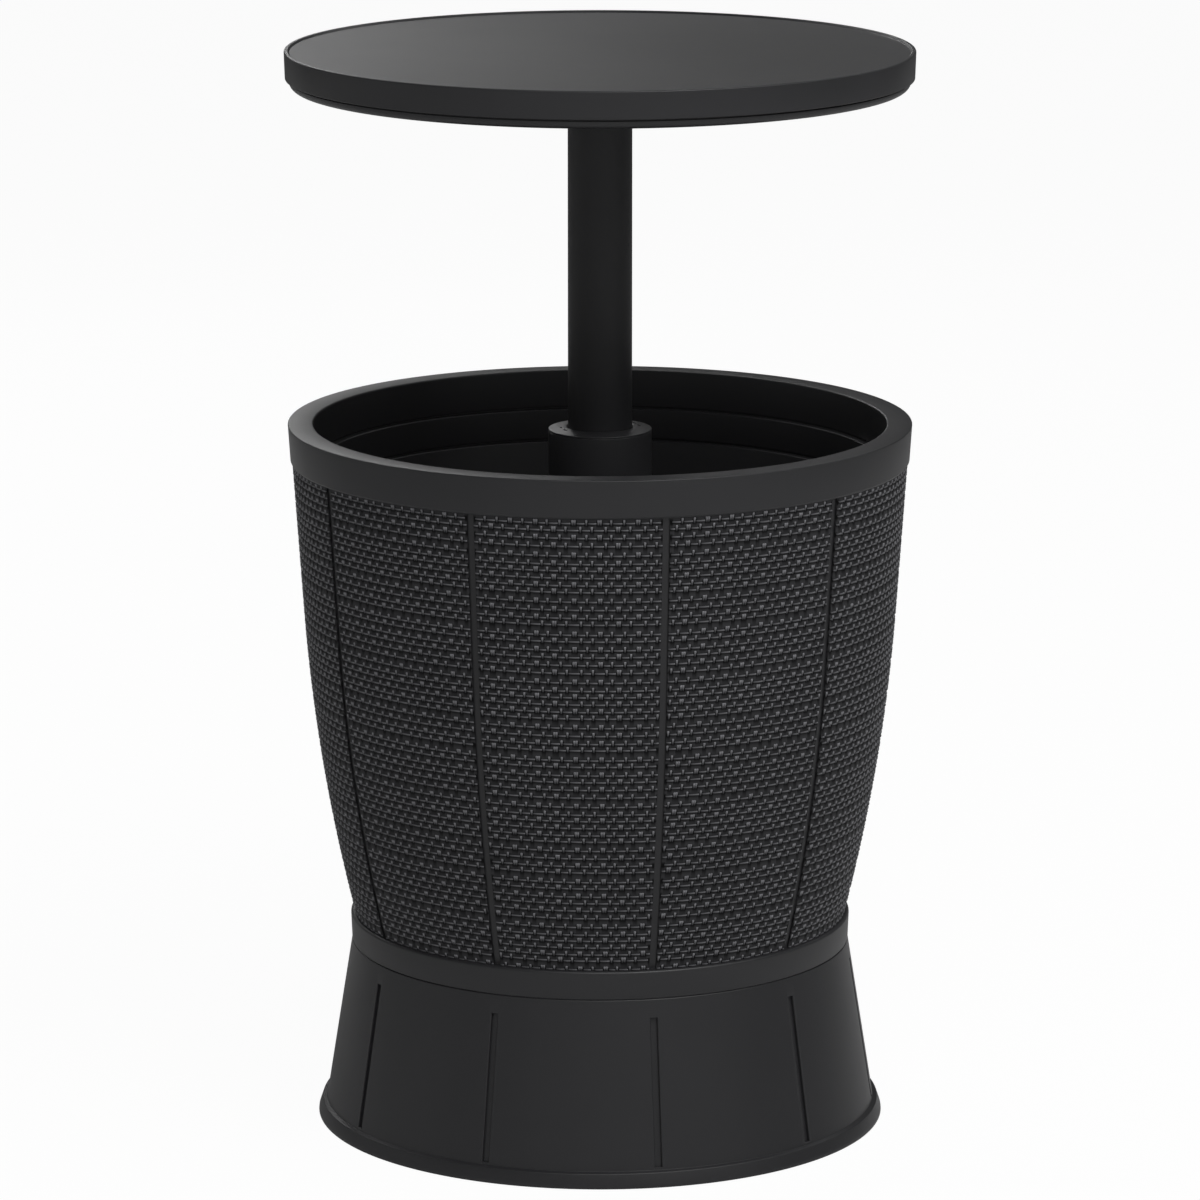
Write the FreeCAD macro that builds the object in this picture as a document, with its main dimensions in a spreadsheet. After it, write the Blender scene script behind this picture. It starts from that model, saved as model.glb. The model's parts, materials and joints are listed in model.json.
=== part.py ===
"""Cooler table with lid: a round table top on a column that slides in a cooler tub.

Millimetres, +Z up, origin on the floor under the middle of the foot, -Y is the front.
The table top is modelled raised, as it stands when it is used as a bar table.
"""
import FreeCAD, Part

import math
import os

import Sketcher

DOCUMENT = FreeCAD.newDocument("CoolerTable")

# Driving sizes: every length in millimetres, every angle in degrees
DRIVING_SIZES = {
    # Foot and flared skirt
    "pad_proud": 0.5,
    "pad_radius": 10.0,
    "pad_recess": 4.0,
    "pad_count": 5,
    "pad_boss_wall": 3.0,
    "pad_edge_gap": 2.0,
    "pad_boss_height": 16.0,
    "foot_ring_width": 7.0,
    "foot_ring_top": 13.6,
    "foot_ring_wall": 3.0,
    "foot_ring_round": 0.6,
    "foot_bead_height": 2.0,
    "foot_bead_step": 0.8,
    "foot_bead_round": 1.0,
    "foot_step_round": 0.4,
    "skirt_flare": 20.3,
    "skirt_step": 0.1,
    "skirt_top": 140.0,
    "skirt_wall": 4.0,
    "skirt_edge_round": 1.6,
    "slot_width": 4.0,
    "slot_depth": 2.4,
    "slot_head_gap": 13.1,
    "slot_foot_gap": 0.9,
    "flange_thickness": 4.5,
    "flange_width": 26.6,
    "seam_gap": 1.8,
    "seam_depth": 2.2,
    "screw_clearance": 0.2,
    "base_screw_inset": 14.6,
    "base_screw_count": 10,
    "base_screw_radius": 2.5,
    "base_screw_head_radius": 4.8,
    "base_screw_head_height": 3.0,
    "base_screw_thread": 7.0,
    "base_screw_boss_wall": 3.5,
    # Outer barrel, from the rim down
    "groove_count": 10,
    "first_groove_angle": -77.6,
    "groove_width": 5.4,
    "groove_depth": 1.8,
    "weave_setback": 1.7,
    "barrel_lean": 8.0,
    "barrel_bend_height": 404.4,
    "barrel_curve_radius": 1394.6,
    "barrel_curve_centre": 499.2,
    "barrel_wall": 3.4,
    "band_height": 23.2,
    "band_proud": 3.2,
    "band_draft": 0.9,
    "band_edge_round": 1.2,
    "band_foot_round": 0.7,
    # Cooler tub with its rim, and the centre tower
    "rim_top": 551.2,
    "rim_outer_radius": 241.1,
    "rim_width": 19.7,
    "rim_draft": 1.8,
    "rim_band_height": 29.6,
    "rim_chamfer_rise": 1.6,
    "rim_chamfer_run": 1.3,
    "rim_wall": 2.4,
    "rim_edge_round": 2.5,
    "mouth_round": 2.2,
    "neck_top_gap": 0.2,
    "tub_wall": 3.0,
    "wall_draft": 0.4,
    "ledge_width": 5.2,
    "ledge_round": 1.6,
    "upper_ledge_depth": 30.7,
    "lower_ledge_depth": 55.6,
    "tub_floor": 225.0,
    "tub_corner_round": 16.0,
    "tower_wall": 3.1,
    "tower_draft": 1.2,
    "tower_chamfer": 0.8,
    "sump_margin": 10.0,
    "sump_depth": 14.0,
    "fit_gap": 0.3,
    # Foam jacket
    "foam_gap": 0.5,
    "foam_wall_thickness": 22.2,
    "foam_floor_thickness": 27.0,
    "foam_top_gap": 3.0,
    # Deck that carries the tub
    "deck_thickness": 4.0,
    "deck_clearance": 0.8,
    "deck_rib_count": 10,
    "deck_rib_angle": 18.0,
    "deck_rib_thickness": 4.0,
    "deck_hub_gap": 4.0,
    "deck_lip": 11.5,
    # Guide tube, bushes and bayonet lock
    "bush_wall": 6.75,
    "guide_wall": 5.0,
    "guide_flange_width": 15.5,
    "guide_flange_thickness": 5.0,
    "keyway_depth": 2.5,
    "keyway_count": 3,
    "lug_angle": 20.0,
    "twist_angle": 40.0,
    "lug_height": 10.0,
    "lug_side_gap": 0.6,
    "running_gap": 0.05,
    "upper_bush_length": 54.0,
    "upper_bush_flange": 2.0,
    "glide_bush_length": 40.0,
    "stop_ring_height": 12.0,
    "foot_clearance": 14.1,
    "tube_screw_offset": 8.0,
    "tube_screw_count": 4,
    "small_screw_radius": 2.0,
    "small_screw_head_radius": 3.9,
    "small_screw_head_height": 2.4,
    "collar_drop": 4.2,
    "collar_thickness": 2.5,
    "collar_edge_round": 0.8,
    "collar_spigot_width": 4.5,
    "collar_spigot_depth": 1.5,
    "collar_bore_chamfer": 1.0,
    # Column and lock foot
    "column_radius": 24.75,
    "column_wall": 2.6,
    "foot_plug_head": 13.4,
    "foot_plug_wall": 4.0,
    "foot_pin_radius": 2.5,
    # Table top
    "closing_gap": 0.3,
    "lid_overhang": 0.2,
    "lid_draft": 0.7,
    "lid_band_height": 21.3,
    "lid_band_wall": 3.0,
    "lid_skin": 3.2,
    "lip_width": 3.0,
    "lip_height": 1.5,
    "lip_slope": 1.2,
    "lid_edge_round": 1.2,
    "lid_foot_round": 0.6,
    "shadow_gap": 1.2,
    "shadow_depth": 0.75,
    "pan_setback": 3.65,
    "pan_corner_round": 5.8,
    "pan_side_flat": 0.5,
    "pan_wall": 2.8,
    "pan_spigot": 8.5,
    "seal_inset": 3.8,
    "seal_width": 5.0,
    "seal_depth": 1.6,
    "lid_screw_inset": 36.3,
    "lid_screw_count": 8,
    "lid_screw_length": 16.0,
    "lid_boss_radius": 5.5,
    "lid_foam_gap": 3.5,
    "socket_flange_width": 35.25,
    "socket_thickness": 5.0,
    "socket_wall": 6.0,
    "socket_cap": 2.3,
    "socket_screw_inset": 15.0,
    "socket_screw_count": 6,
    "socket_boss_height": 12.0,
    "socket_boss_wall": 4.0,
    "side_screw_gap": 1.1,
    "side_screw_length": 9.0,
    # Drain
    "drain_distance": 110.0,
    "drain_tube_radius": 11.0,
    "drain_wall": 3.0,
    "drain_flange_width": 5.0,
    "drain_flange_thickness": 2.5,
    "drain_washer_thickness": 1.5,
    "drain_spigot_step": 1.0,
    "drain_spigot_length": 12.0,
    "drain_nut_width": 6.0,
    "drain_nut_height": 8.0,
    "plug_head_lip": 5.0,
    "plug_head_height": 3.0,
    "plug_stem_gap": 1.2,
    "plug_stem_length": 16.0,
    "plug_handle_length": 22.0,
    "plug_handle_width": 4.0,
    "plug_handle_height": 4.5,
    "ring_section_radius": 1.4,
    "ring_drop": 8.0,
}


class Size:
    """A size that carries its number and the spreadsheet expression that gives it."""

    def __init__(self, value, text):
        self.value = value
        self.text = text

    def __add__(self, other):
        other = as_size(other)
        return Size(self.value + other.value, f"({self.text} + {other.text})")

    def __sub__(self, other):
        other = as_size(other)
        return Size(self.value - other.value, f"({self.text} - {other.text})")

    def __rsub__(self, other):
        return as_size(other) - self

    def __mul__(self, other):
        other = as_size(other)
        return Size(self.value * other.value, f"{self.text} * {other.text}")

    def __truediv__(self, other):
        other = as_size(other)
        return Size(self.value / other.value, f"{self.text} / ({other.text})")

    __radd__ = __add__
    __rmul__ = __mul__


def as_size(number):
    """Return a Size for a plain number, and a Size unchanged."""
    if isinstance(number, Size):
        return number
    return Size(float(number), repr(number))


def root(size):
    """Square root of a size."""
    return Size(math.sqrt(size.value), f"sqrt({size.text})")


def angle_across(width, radius):
    """Angle in degrees that a chord of this width takes up on a circle."""
    half = Size(math.degrees(math.asin(width.value / radius.value / 2)),
                f"(asin({width.text} / ({radius.text}) / 2) / 1 deg)")
    return half * 2


class Sheet:
    """The driving sizes, each a named cell of one spreadsheet and an attribute here."""

    def __init__(self, sizes):
        cells = DOCUMENT.addObject("Spreadsheet::Sheet", "Sizes")
        for row, (name, number) in enumerate(sizes.items(), start=1):
            cells.set(f"A{row}", name)
            cells.set(f"B{row}", str(number))
            cells.setAlias(f"B{row}", name)
            setattr(self, name, Size(number, f"Sizes.{name}"))


dim = Sheet(DRIVING_SIZES)
DOCUMENT.recompute()


class Corner:
    """A corner of an outline, at a radius and a height.

    A corner may be rounded, and the edge that leaves it may be an arc of radius bow,
    which bulges away from the axis.
    """

    def __init__(self, radius, height, rounding=None, bow=None):
        self.radius = as_size(radius)
        self.height = as_size(height)
        self.rounding = rounding
        self.bow = bow

    def point(self):
        return FreeCAD.Vector(self.radius.value, self.height.value, 0)


SUB_PARTS = []
CUTS = []


def new_body(label):
    """Start the body of one sub-part, whose label names its file."""
    body = DOCUMENT.addObject("PartDesign::Body", label)
    body.AllowCompound = True
    return sub_part(body, label)


def sub_part(shape, label):
    """Label a sub-part and turn it about Z with the first groove."""
    shape.Label = label
    turn = FreeCAD.Rotation(FreeCAD.Vector(0, 0, 1), dim.first_groove_angle.value)
    shape.Placement = FreeCAD.Placement(FreeCAD.Vector(), turn)
    shape.setExpression("Placement.Rotation.Angle", dim.first_groove_angle.text)
    SUB_PARTS.append(shape)
    return shape


def origin_part(body, role):
    """Return the origin plane or axis of a body by its role."""
    return next(item for item in body.Origin.OriginFeatures if item.Role == role)


def new_sketch(body, name, plane, facing=None, lift=None):
    """Add a sketch on an origin plane, turned about Z by facing, raised by lift."""
    sketch = body.newObject("Sketcher::SketchObject", name)
    sketch.AttachmentSupport = [(origin_part(body, plane), "")]
    sketch.MapMode = "FlatFace"
    upright = plane != "XY_Plane"
    turn_axis = FreeCAD.Vector(0, 1, 0) if upright else FreeCAD.Vector(0, 0, 1)
    if facing is not None:
        turned = FreeCAD.Rotation(turn_axis, facing.value)
        sketch.AttachmentOffset = FreeCAD.Placement(FreeCAD.Vector(), turned)
        sketch.setExpression("AttachmentOffset.Rotation.Angle", facing.text)
    if lift is not None:
        sketch.setExpression("AttachmentOffset.Base.z", lift.text)
    return sketch


def bind_point(sketch, geometry, place, corner):
    """Hold a sketch point at a corner's radius and height."""
    for kind, axis, size in (("DistanceX", -2, corner.radius), ("DistanceY", -1, corner.height)):
        if size.value == 0:
            sketch.addConstraint(Sketcher.Constraint("PointOnObject", geometry, place, axis))
            continue
        bound = Sketcher.Constraint(kind, -1, 1, geometry, place, size.value)
        index = sketch.addConstraint(bound)
        sketch.setExpression(f"Constraints[{index}]", size.text)


def bow_centre(start, end, radius):
    """Centre of the arc from start to end that bulges away from the axis."""
    middle = (start + end) * 0.5
    chord = end - start
    reach = math.sqrt(radius ** 2 - (chord.Length / 2) ** 2)
    normal = FreeCAD.Vector(-chord.y, chord.x, 0).normalize()
    if normal.x > 0:
        normal = normal * -1
    return middle + normal * reach


def arc_between(centre, start, end, radius):
    """Sketch arc between two points, and whether it runs from start to end."""
    first = math.atan2(start.y - centre.y, start.x - centre.x)
    last = math.atan2(end.y - centre.y, end.x - centre.x)
    circle = Part.Circle(centre, FreeCAD.Vector(0, 0, 1), radius)
    forward = (last - first) % (2 * math.pi) < math.pi
    if forward:
        return Part.ArcOfCircle(circle, first, last), True
    return Part.ArcOfCircle(circle, last, first), False


def bind_radius(sketch, geometry, size):
    """Hold the radius of a sketch arc at a size."""
    index = sketch.addConstraint(Sketcher.Constraint("Radius", geometry, size.value))
    sketch.setExpression(f"Constraints[{index}]", size.text)


def rounding_points(before, corner, after, radius):
    """The two ends of the arc that rounds a corner between straight edges."""
    back = (before - corner).normalize()
    ahead = (after - corner).normalize()
    half = back.getAngle(ahead) / 2
    reach = radius / math.tan(half)
    return corner + back * reach, corner + ahead * reach


def draw_outline(sketch, corners):
    """Draw and fully constrain a closed outline through its corners."""
    count = len(corners)
    points = [corner.point() for corner in corners]
    leaving = list(points)
    reaching = list(points)
    for i, corner in enumerate(corners):
        if corner.rounding is not None:
            ends = rounding_points(points[i - 1], points[i], points[(i + 1) % count],
                                   corner.rounding.value)
            reaching[i], leaving[i] = ends
    edges = []
    for i, corner in enumerate(corners):
        start, end = leaving[i], reaching[(i + 1) % count]
        if corner.bow is None:
            edges.append((sketch.addGeometry(Part.LineSegment(start, end), False), 1, 2))
            continue
        radius = corner.bow.value
        arc, forward = arc_between(bow_centre(start, end, radius), start, end, radius)
        edges.append((sketch.addGeometry(arc, False),) + ((1, 2) if forward else (2, 1)))
        bind_radius(sketch, edges[-1][0], corner.bow)
    for i, corner in enumerate(corners):
        before, after = edges[i - 1], edges[i]
        if corner.rounding is None:
            joined = Sketcher.Constraint("Coincident", before[0], before[2], after[0], after[1])
            sketch.addConstraint(joined)
            bind_point(sketch, after[0], after[1], corner)
        else:
            round_corner(sketch, corner, before, after, reaching[i], leaving[i])


def round_corner(sketch, corner, before, after, start, end):
    """Add the tangent arc of a rounded corner, and the point where its edges would meet."""
    radius = corner.rounding.value
    peak = corner.point()
    towards = ((start + end) * 0.5 - peak).normalize()
    reach = math.sqrt((start - peak).Length ** 2 + radius ** 2)
    arc, forward = arc_between(peak + towards * reach, start, end, radius)
    geometry = sketch.addGeometry(arc, False)
    first, last = (1, 2) if forward else (2, 1)
    tangent_in = Sketcher.Constraint("Tangent", before[0], before[2], geometry, first)
    tangent_out = Sketcher.Constraint("Tangent", geometry, last, after[0], after[1])
    sketch.addConstraint(tangent_in)
    sketch.addConstraint(tangent_out)
    bind_radius(sketch, geometry, corner.rounding)
    point = sketch.addGeometry(Part.Point(peak), True)
    for edge in (before, after):
        sketch.addConstraint(Sketcher.Constraint("PointOnObject", point, 1, edge[0]))
    bind_point(sketch, point, 1, corner)


def turned(body, name, corners, sweep=None, facing=None, cut=False):
    """Turn an outline about the Z axis, all round or over an angle centred on facing."""
    sketch = new_sketch(body, name + "_outline", "XZ_Plane", facing)
    draw_outline(sketch, corners)
    kind = "PartDesign::Groove" if cut else "PartDesign::Revolution"
    feature = body.newObject(kind, name)
    feature.Profile = sketch
    feature.ReferenceAxis = (sketch, ["V_Axis"])
    feature.Angle = 360
    if sweep is not None:
        feature.Midplane = True
        feature.setExpression("Angle", sweep.text)
    if cut:
        CUTS.append(feature)
    return feature


def box_outline(inner, outer, low, high):
    """Outline of a plain rectangular section between two radii and two heights."""
    return [Corner(inner, low), Corner(outer, low), Corner(outer, high), Corner(inner, high)]


def post(body, name, radius, low, high, distance=None, cut=False):
    """Add or cut an upright cylinder at a distance from the Z axis."""
    kind = "PartDesign::SubtractiveCylinder" if cut else "PartDesign::AdditiveCylinder"
    feature = body.newObject(kind, name)
    feature.setExpression("Radius", as_size(radius).text)
    feature.setExpression("Height", (as_size(high) - low).text)
    feature.setExpression("Placement.Base.z", as_size(low).text)
    if distance is not None:
        feature.setExpression("Placement.Base.x", distance.text)
    if cut:
        CUTS.append(feature)
    return feature


def around(body, name, features, count):
    """Repeat features evenly about the Z axis."""
    pattern = body.newObject("PartDesign::PolarPattern", name)
    pattern.Originals = features
    pattern.Axis = (origin_part(body, "Z_Axis"), [""])
    pattern.Angle = 360
    pattern.setExpression("Occurrences", count.text)
    body.Tip = pattern
    return pattern


def rib(body, name, inner, outer, thickness, low, high, facing):
    """Add an upright radial rib between two radii."""
    sketch = new_sketch(body, name + "_outline", "XY_Plane", facing, low)
    half = thickness.value / 2
    corners = [FreeCAD.Vector(inner.value, -half, 0), FreeCAD.Vector(outer.value, -half, 0),
               FreeCAD.Vector(outer.value, half, 0), FreeCAD.Vector(inner.value, half, 0)]
    for start, end in zip(corners, corners[1:] + corners[:1]):
        sketch.addGeometry(Part.LineSegment(start, end), False)
    for i in range(4):
        sketch.addConstraint(Sketcher.Constraint("Coincident", i, 2, (i + 1) % 4, 1))
    for i, kind in enumerate(("Horizontal", "Vertical", "Horizontal")):
        sketch.addConstraint(Sketcher.Constraint(kind, i))
    sketch.addConstraint(Sketcher.Constraint("Symmetric", 0, 1, 3, 1, -1))
    for kind, ends, size in (("DistanceX", (-1, 1, 0, 1), inner),
                             ("DistanceX", (-1, 1, 0, 2), outer),
                             ("DistanceY", (0, 1, 3, 1), thickness)):
        index = sketch.addConstraint(Sketcher.Constraint(kind, *ends, size.value))
        sketch.setExpression(f"Constraints[{index}]", size.text)
    pad = body.newObject("PartDesign::Pad", name)
    pad.Profile = sketch
    pad.setExpression("Length", (high - low).text)
    return pad


def upright_screws(label, circle, count, radius, head_radius, head_height, seat, tip):
    """Identical screws that point up, with their heads under the seat."""
    body = new_body(label)
    head = post(body, "Head", head_radius, seat - head_height, seat, circle)
    shank = post(body, "Shank", radius, seat, tip, circle)
    around(body, "Screws", [head, shank], count)
    return body


# Heights that follow from the driving sizes, from the floor up
barrel_foot = dim.skirt_top + dim.seam_gap
band_top = barrel_foot + dim.band_height
slot_top = dim.skirt_top - dim.slot_head_gap
skirt_flange_low = dim.skirt_top - dim.flange_thickness
deck_low = barrel_foot + dim.flange_thickness
deck_top = deck_low + dim.deck_thickness
base_screw_tip = deck_top + dim.base_screw_thread
tub_under = dim.tub_floor - dim.tub_wall
foam_low = tub_under - dim.foam_floor_thickness
sump_floor = dim.tub_floor - dim.sump_depth
drain_seat = sump_floor + dim.drain_washer_thickness
drain_top = drain_seat + dim.drain_flange_thickness
weave_top = dim.rim_top - dim.rim_band_height
neck_top = dim.rim_top - dim.tub_wall - dim.neck_top_gap
upper_ledge = dim.rim_top - dim.upper_ledge_depth
lower_ledge = dim.rim_top - dim.lower_ledge_depth
collar_top = dim.rim_top - dim.collar_drop
tower_top = collar_top - dim.collar_thickness
upper_bush_top = tower_top - dim.collar_spigot_depth
guide_top = upper_bush_top - dim.upper_bush_flange
upper_bush_low = guide_top - dim.upper_bush_length
stop_ring_top = upper_bush_low - dim.fit_gap
stop_ring_low = stop_ring_top - dim.stop_ring_height
foot_pin_height = stop_ring_low + dim.stop_ring_height / 2
glide_bush_top = stop_ring_low - dim.fit_gap
glide_bush_low = glide_bush_top - dim.glide_bush_length
lug_top = glide_bush_low - dim.fit_gap
lug_low = lug_top - dim.lug_height
lift_travel = lug_low - deck_top - dim.foot_clearance
pan_under = dim.rim_top + dim.closing_gap + lift_travel
pan_floor = pan_under + dim.pan_wall
pan_shoulder = pan_under + dim.pan_corner_round + dim.pan_side_flat
lid_band_foot = pan_shoulder + dim.shadow_gap
lid_top = lid_band_foot + dim.lid_band_height
lid_recess = lid_top - dim.lip_height
skin_under = lid_recess - dim.lid_skin
column_top = skin_under - dim.socket_cap
socket_disc_top = pan_floor + dim.socket_thickness
socket_screw_tip = pan_floor + dim.socket_boss_height
lid_screw_tip = pan_under + dim.lid_screw_length
side_screw_level = socket_disc_top + dim.small_screw_head_radius + dim.side_screw_gap

# Radii that follow from the rim's radius, inwards and down to the foot
rim_foot_radius = dim.rim_outer_radius - dim.rim_draft
barrel_top_radius = rim_foot_radius - dim.weave_setback
barrel_bend_radius = barrel_top_radius - dim.barrel_lean
neck_radius = rim_foot_radius - dim.rim_wall - dim.fit_gap
mouth_radius = dim.rim_outer_radius - dim.rim_width
middle_wall_top = mouth_radius - dim.wall_draft - dim.ledge_width
lower_wall_top = middle_wall_top - dim.wall_draft - dim.ledge_width


def barrel_curve(height, inset):
    """Radius of the barrel's curved lower wall at a height, less an inset."""
    bend_reach = dim.barrel_bend_height - dim.barrel_curve_centre
    reach = height - dim.barrel_curve_centre
    square = dim.barrel_curve_radius * dim.barrel_curve_radius
    centre = barrel_bend_radius - root(square - bend_reach * bend_reach)
    return centre + root(square - reach * reach) - inset


tub_floor_radius = barrel_curve(dim.tub_floor, dim.barrel_wall + dim.foam_wall_thickness)
band_top_radius = barrel_curve(band_top, 0) + dim.band_proud
band_foot_radius = band_top_radius - dim.band_draft
skirt_top_radius = band_foot_radius + dim.skirt_step
skirt_foot_radius = skirt_top_radius + dim.skirt_flare
foot_ring_radius = skirt_foot_radius + dim.foot_ring_width
flange_inner_radius = skirt_top_radius - dim.flange_width
base_screw_circle = skirt_top_radius - dim.base_screw_inset
pad_circle = skirt_foot_radius - dim.skirt_wall - dim.pad_radius - dim.pad_edge_gap

# Radii that follow from the column's radius, outwards
guide_bore_radius = dim.column_radius + dim.bush_wall
guide_radius = guide_bore_radius + dim.guide_wall
guide_flange_radius = guide_radius + dim.guide_flange_width
keyway_radius = guide_bore_radius + dim.keyway_depth
tube_screw_circle = guide_radius + dim.tube_screw_offset
tower_bore = guide_radius + dim.fit_gap
tower_radius = tower_bore + dim.tower_wall
tower_spigot_radius = tower_bore + dim.tower_wall / 2
tower_seat_radius = tower_spigot_radius + dim.fit_gap
collar_spigot_radius = guide_radius - dim.collar_spigot_width
deck_hub_radius = guide_flange_radius + dim.deck_hub_gap
deck_hole_radius = guide_bore_radius - dim.deck_lip
socket_radius = dim.column_radius + dim.socket_flange_width
socket_screw_circle = socket_radius - dim.socket_screw_inset
lug_slack = angle_across(dim.lug_side_gap, keyway_radius)

# Radii of the table top and the drain
lid_radius = dim.rim_outer_radius + dim.lid_overhang
lid_foot_radius = lid_radius - dim.lid_draft
pan_radius = lid_radius - dim.pan_setback
seal_inner_radius = mouth_radius + dim.seal_inset
lid_screw_circle = lid_radius - dim.lid_screw_inset
lid_foam_radius = lid_screw_circle - dim.lid_boss_radius - dim.lid_foam_gap
drain_place = dim.drain_distance * -1
drain_bore_radius = dim.drain_tube_radius - dim.drain_wall
drain_flange_radius = dim.drain_tube_radius + dim.drain_flange_width
sump_radius = drain_flange_radius + dim.sump_margin


def make_base_skirt():
    """Flared foot with its ring, ten closed slots and an inward flange at the top."""
    body = new_body("base_skirt")
    foot = dim.pad_proud
    ring_wall = dim.foot_ring_wall
    bead_radius = foot_ring_radius - dim.foot_bead_step
    bead_low = dim.foot_ring_top - dim.foot_bead_height
    land_radius = skirt_top_radius - dim.seam_depth
    cone_lean = (skirt_foot_radius - skirt_top_radius) / (dim.skirt_top - dim.foot_ring_top)
    flange_wall = skirt_top_radius + dim.flange_thickness * cone_lean - dim.skirt_wall
    turned(body, "Skirt", [
        Corner(foot_ring_radius, foot, dim.foot_ring_round),
        Corner(foot_ring_radius, bead_low, dim.foot_step_round),
        Corner(bead_radius, bead_low),
        Corner(bead_radius, dim.foot_ring_top, dim.foot_bead_round),
        Corner(skirt_foot_radius, dim.foot_ring_top),
        Corner(skirt_top_radius, dim.skirt_top, dim.skirt_edge_round),
        Corner(land_radius, dim.skirt_top),
        Corner(land_radius, barrel_foot),
        Corner(flange_inner_radius, barrel_foot),
        Corner(flange_inner_radius, skirt_flange_low),
        Corner(flange_wall, skirt_flange_low),
        Corner(skirt_foot_radius - dim.skirt_wall, dim.foot_ring_top),
        Corner(skirt_foot_radius - dim.skirt_wall, foot),
        Corner(skirt_foot_radius, foot),
        Corner(skirt_foot_radius, dim.foot_ring_top - ring_wall),
        Corner(foot_ring_radius - ring_wall, dim.foot_ring_top - ring_wall),
        Corner(foot_ring_radius - ring_wall, foot),
    ])
    add_pad_bosses(body)
    add_skirt_slots(body, cone_lean)
    add_skirt_screw_holes(body)
    return body


def add_pad_bosses(body):
    """Bosses inside the skirt, each with a recess for a rubber pad."""
    foot = dim.pad_proud
    boss = post(body, "PadBoss", dim.pad_radius + dim.pad_boss_wall, foot,
                foot + dim.pad_boss_height, pad_circle)
    around(body, "PadBosses", [boss], dim.pad_count)
    recess = post(body, "PadRecess", dim.pad_radius, foot, foot + dim.pad_recess,
                  pad_circle, cut=True)
    around(body, "PadRecesses", [recess], dim.pad_count)


def add_skirt_slots(body, cone_lean):
    """Narrow upright slots that don't go through, in line with the barrel's grooves."""
    low = dim.foot_ring_top + dim.slot_foot_gap
    low_radius = skirt_foot_radius - dim.slot_foot_gap * cone_lean
    high_radius = skirt_top_radius + (dim.skirt_top - slot_top) * cone_lean
    slot = turned(body, "Slot", [
        Corner(low_radius - dim.slot_depth, low),
        Corner(low_radius + dim.slot_depth, low),
        Corner(high_radius + dim.slot_depth, slot_top),
        Corner(high_radius - dim.slot_depth, slot_top),
    ], angle_across(dim.slot_width, skirt_foot_radius), cut=True)
    around(body, "Slots", [slot], dim.groove_count)


def add_skirt_screw_holes(body):
    """Holes for the screws that hold skirt, barrel and deck together."""
    hole = post(body, "ScrewHole", dim.base_screw_radius + dim.screw_clearance,
                skirt_flange_low, barrel_foot, base_screw_circle, cut=True)
    around(body, "ScrewHoles", [hole], dim.base_screw_count)


def make_foot_pads():
    """Rubber pads pressed into the bosses under the skirt."""
    body = new_body("foot_pads")
    pad = post(body, "Pad", dim.pad_radius - dim.running_gap, 0,
               dim.pad_proud + dim.pad_recess, pad_circle)
    around(body, "Pads", [pad], dim.pad_count)


def make_base_screws():
    """Screws up through the skirt's flange and the barrel's flange into the deck."""
    upright_screws("base_screws", base_screw_circle, dim.base_screw_count,
                   dim.base_screw_radius, dim.base_screw_head_radius,
                   dim.base_screw_head_height, skirt_flange_low, base_screw_tip)


def make_barrel_shell():
    """Outer shell: straight above, curved in below, with a plain band and grooves."""
    body = new_body("barrel_shell")
    wall = dim.barrel_wall
    inner_foot = band_foot_radius - wall
    turned(body, "Shell", [
        Corner(band_foot_radius, barrel_foot, dim.band_foot_round),
        Corner(band_top_radius, band_top, dim.band_edge_round),
        Corner(barrel_curve(band_top, 0), band_top, bow=dim.barrel_curve_radius),
        Corner(barrel_bend_radius, dim.barrel_bend_height),
        Corner(barrel_top_radius, weave_top),
        Corner(neck_radius, weave_top),
        Corner(neck_radius, neck_top),
        Corner(barrel_top_radius - wall, neck_top),
        Corner(barrel_top_radius - wall, weave_top),
        Corner(barrel_bend_radius - wall, dim.barrel_bend_height,
               bow=dim.barrel_curve_radius),
        Corner(barrel_curve(band_top, wall), band_top),
        Corner(inner_foot, band_top - dim.flange_thickness),
        Corner(inner_foot, deck_low),
        Corner(flange_inner_radius, deck_low),
        Corner(flange_inner_radius, barrel_foot),
    ])
    add_barrel_grooves(body)
    hole = post(body, "ScrewHole", dim.base_screw_radius + dim.screw_clearance,
                barrel_foot, deck_low, base_screw_circle, cut=True)
    around(body, "ScrewHoles", [hole], dim.base_screw_count)


def add_barrel_grooves(body):
    """Upright grooves between the woven panels, from the band to the rim."""
    depth = dim.groove_depth
    groove = turned(body, "Groove", [
        Corner(barrel_curve(band_top, depth), band_top),
        Corner(barrel_curve(band_top, depth * -1), band_top, bow=dim.barrel_curve_radius),
        Corner(barrel_bend_radius + depth, dim.barrel_bend_height),
        Corner(barrel_top_radius + depth, weave_top),
        Corner(barrel_top_radius - depth, weave_top),
        Corner(barrel_bend_radius - depth, dim.barrel_bend_height,
               bow=dim.barrel_curve_radius),
    ], angle_across(dim.groove_width, barrel_top_radius), cut=True)
    around(body, "Grooves", [groove], dim.groove_count)


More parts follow.
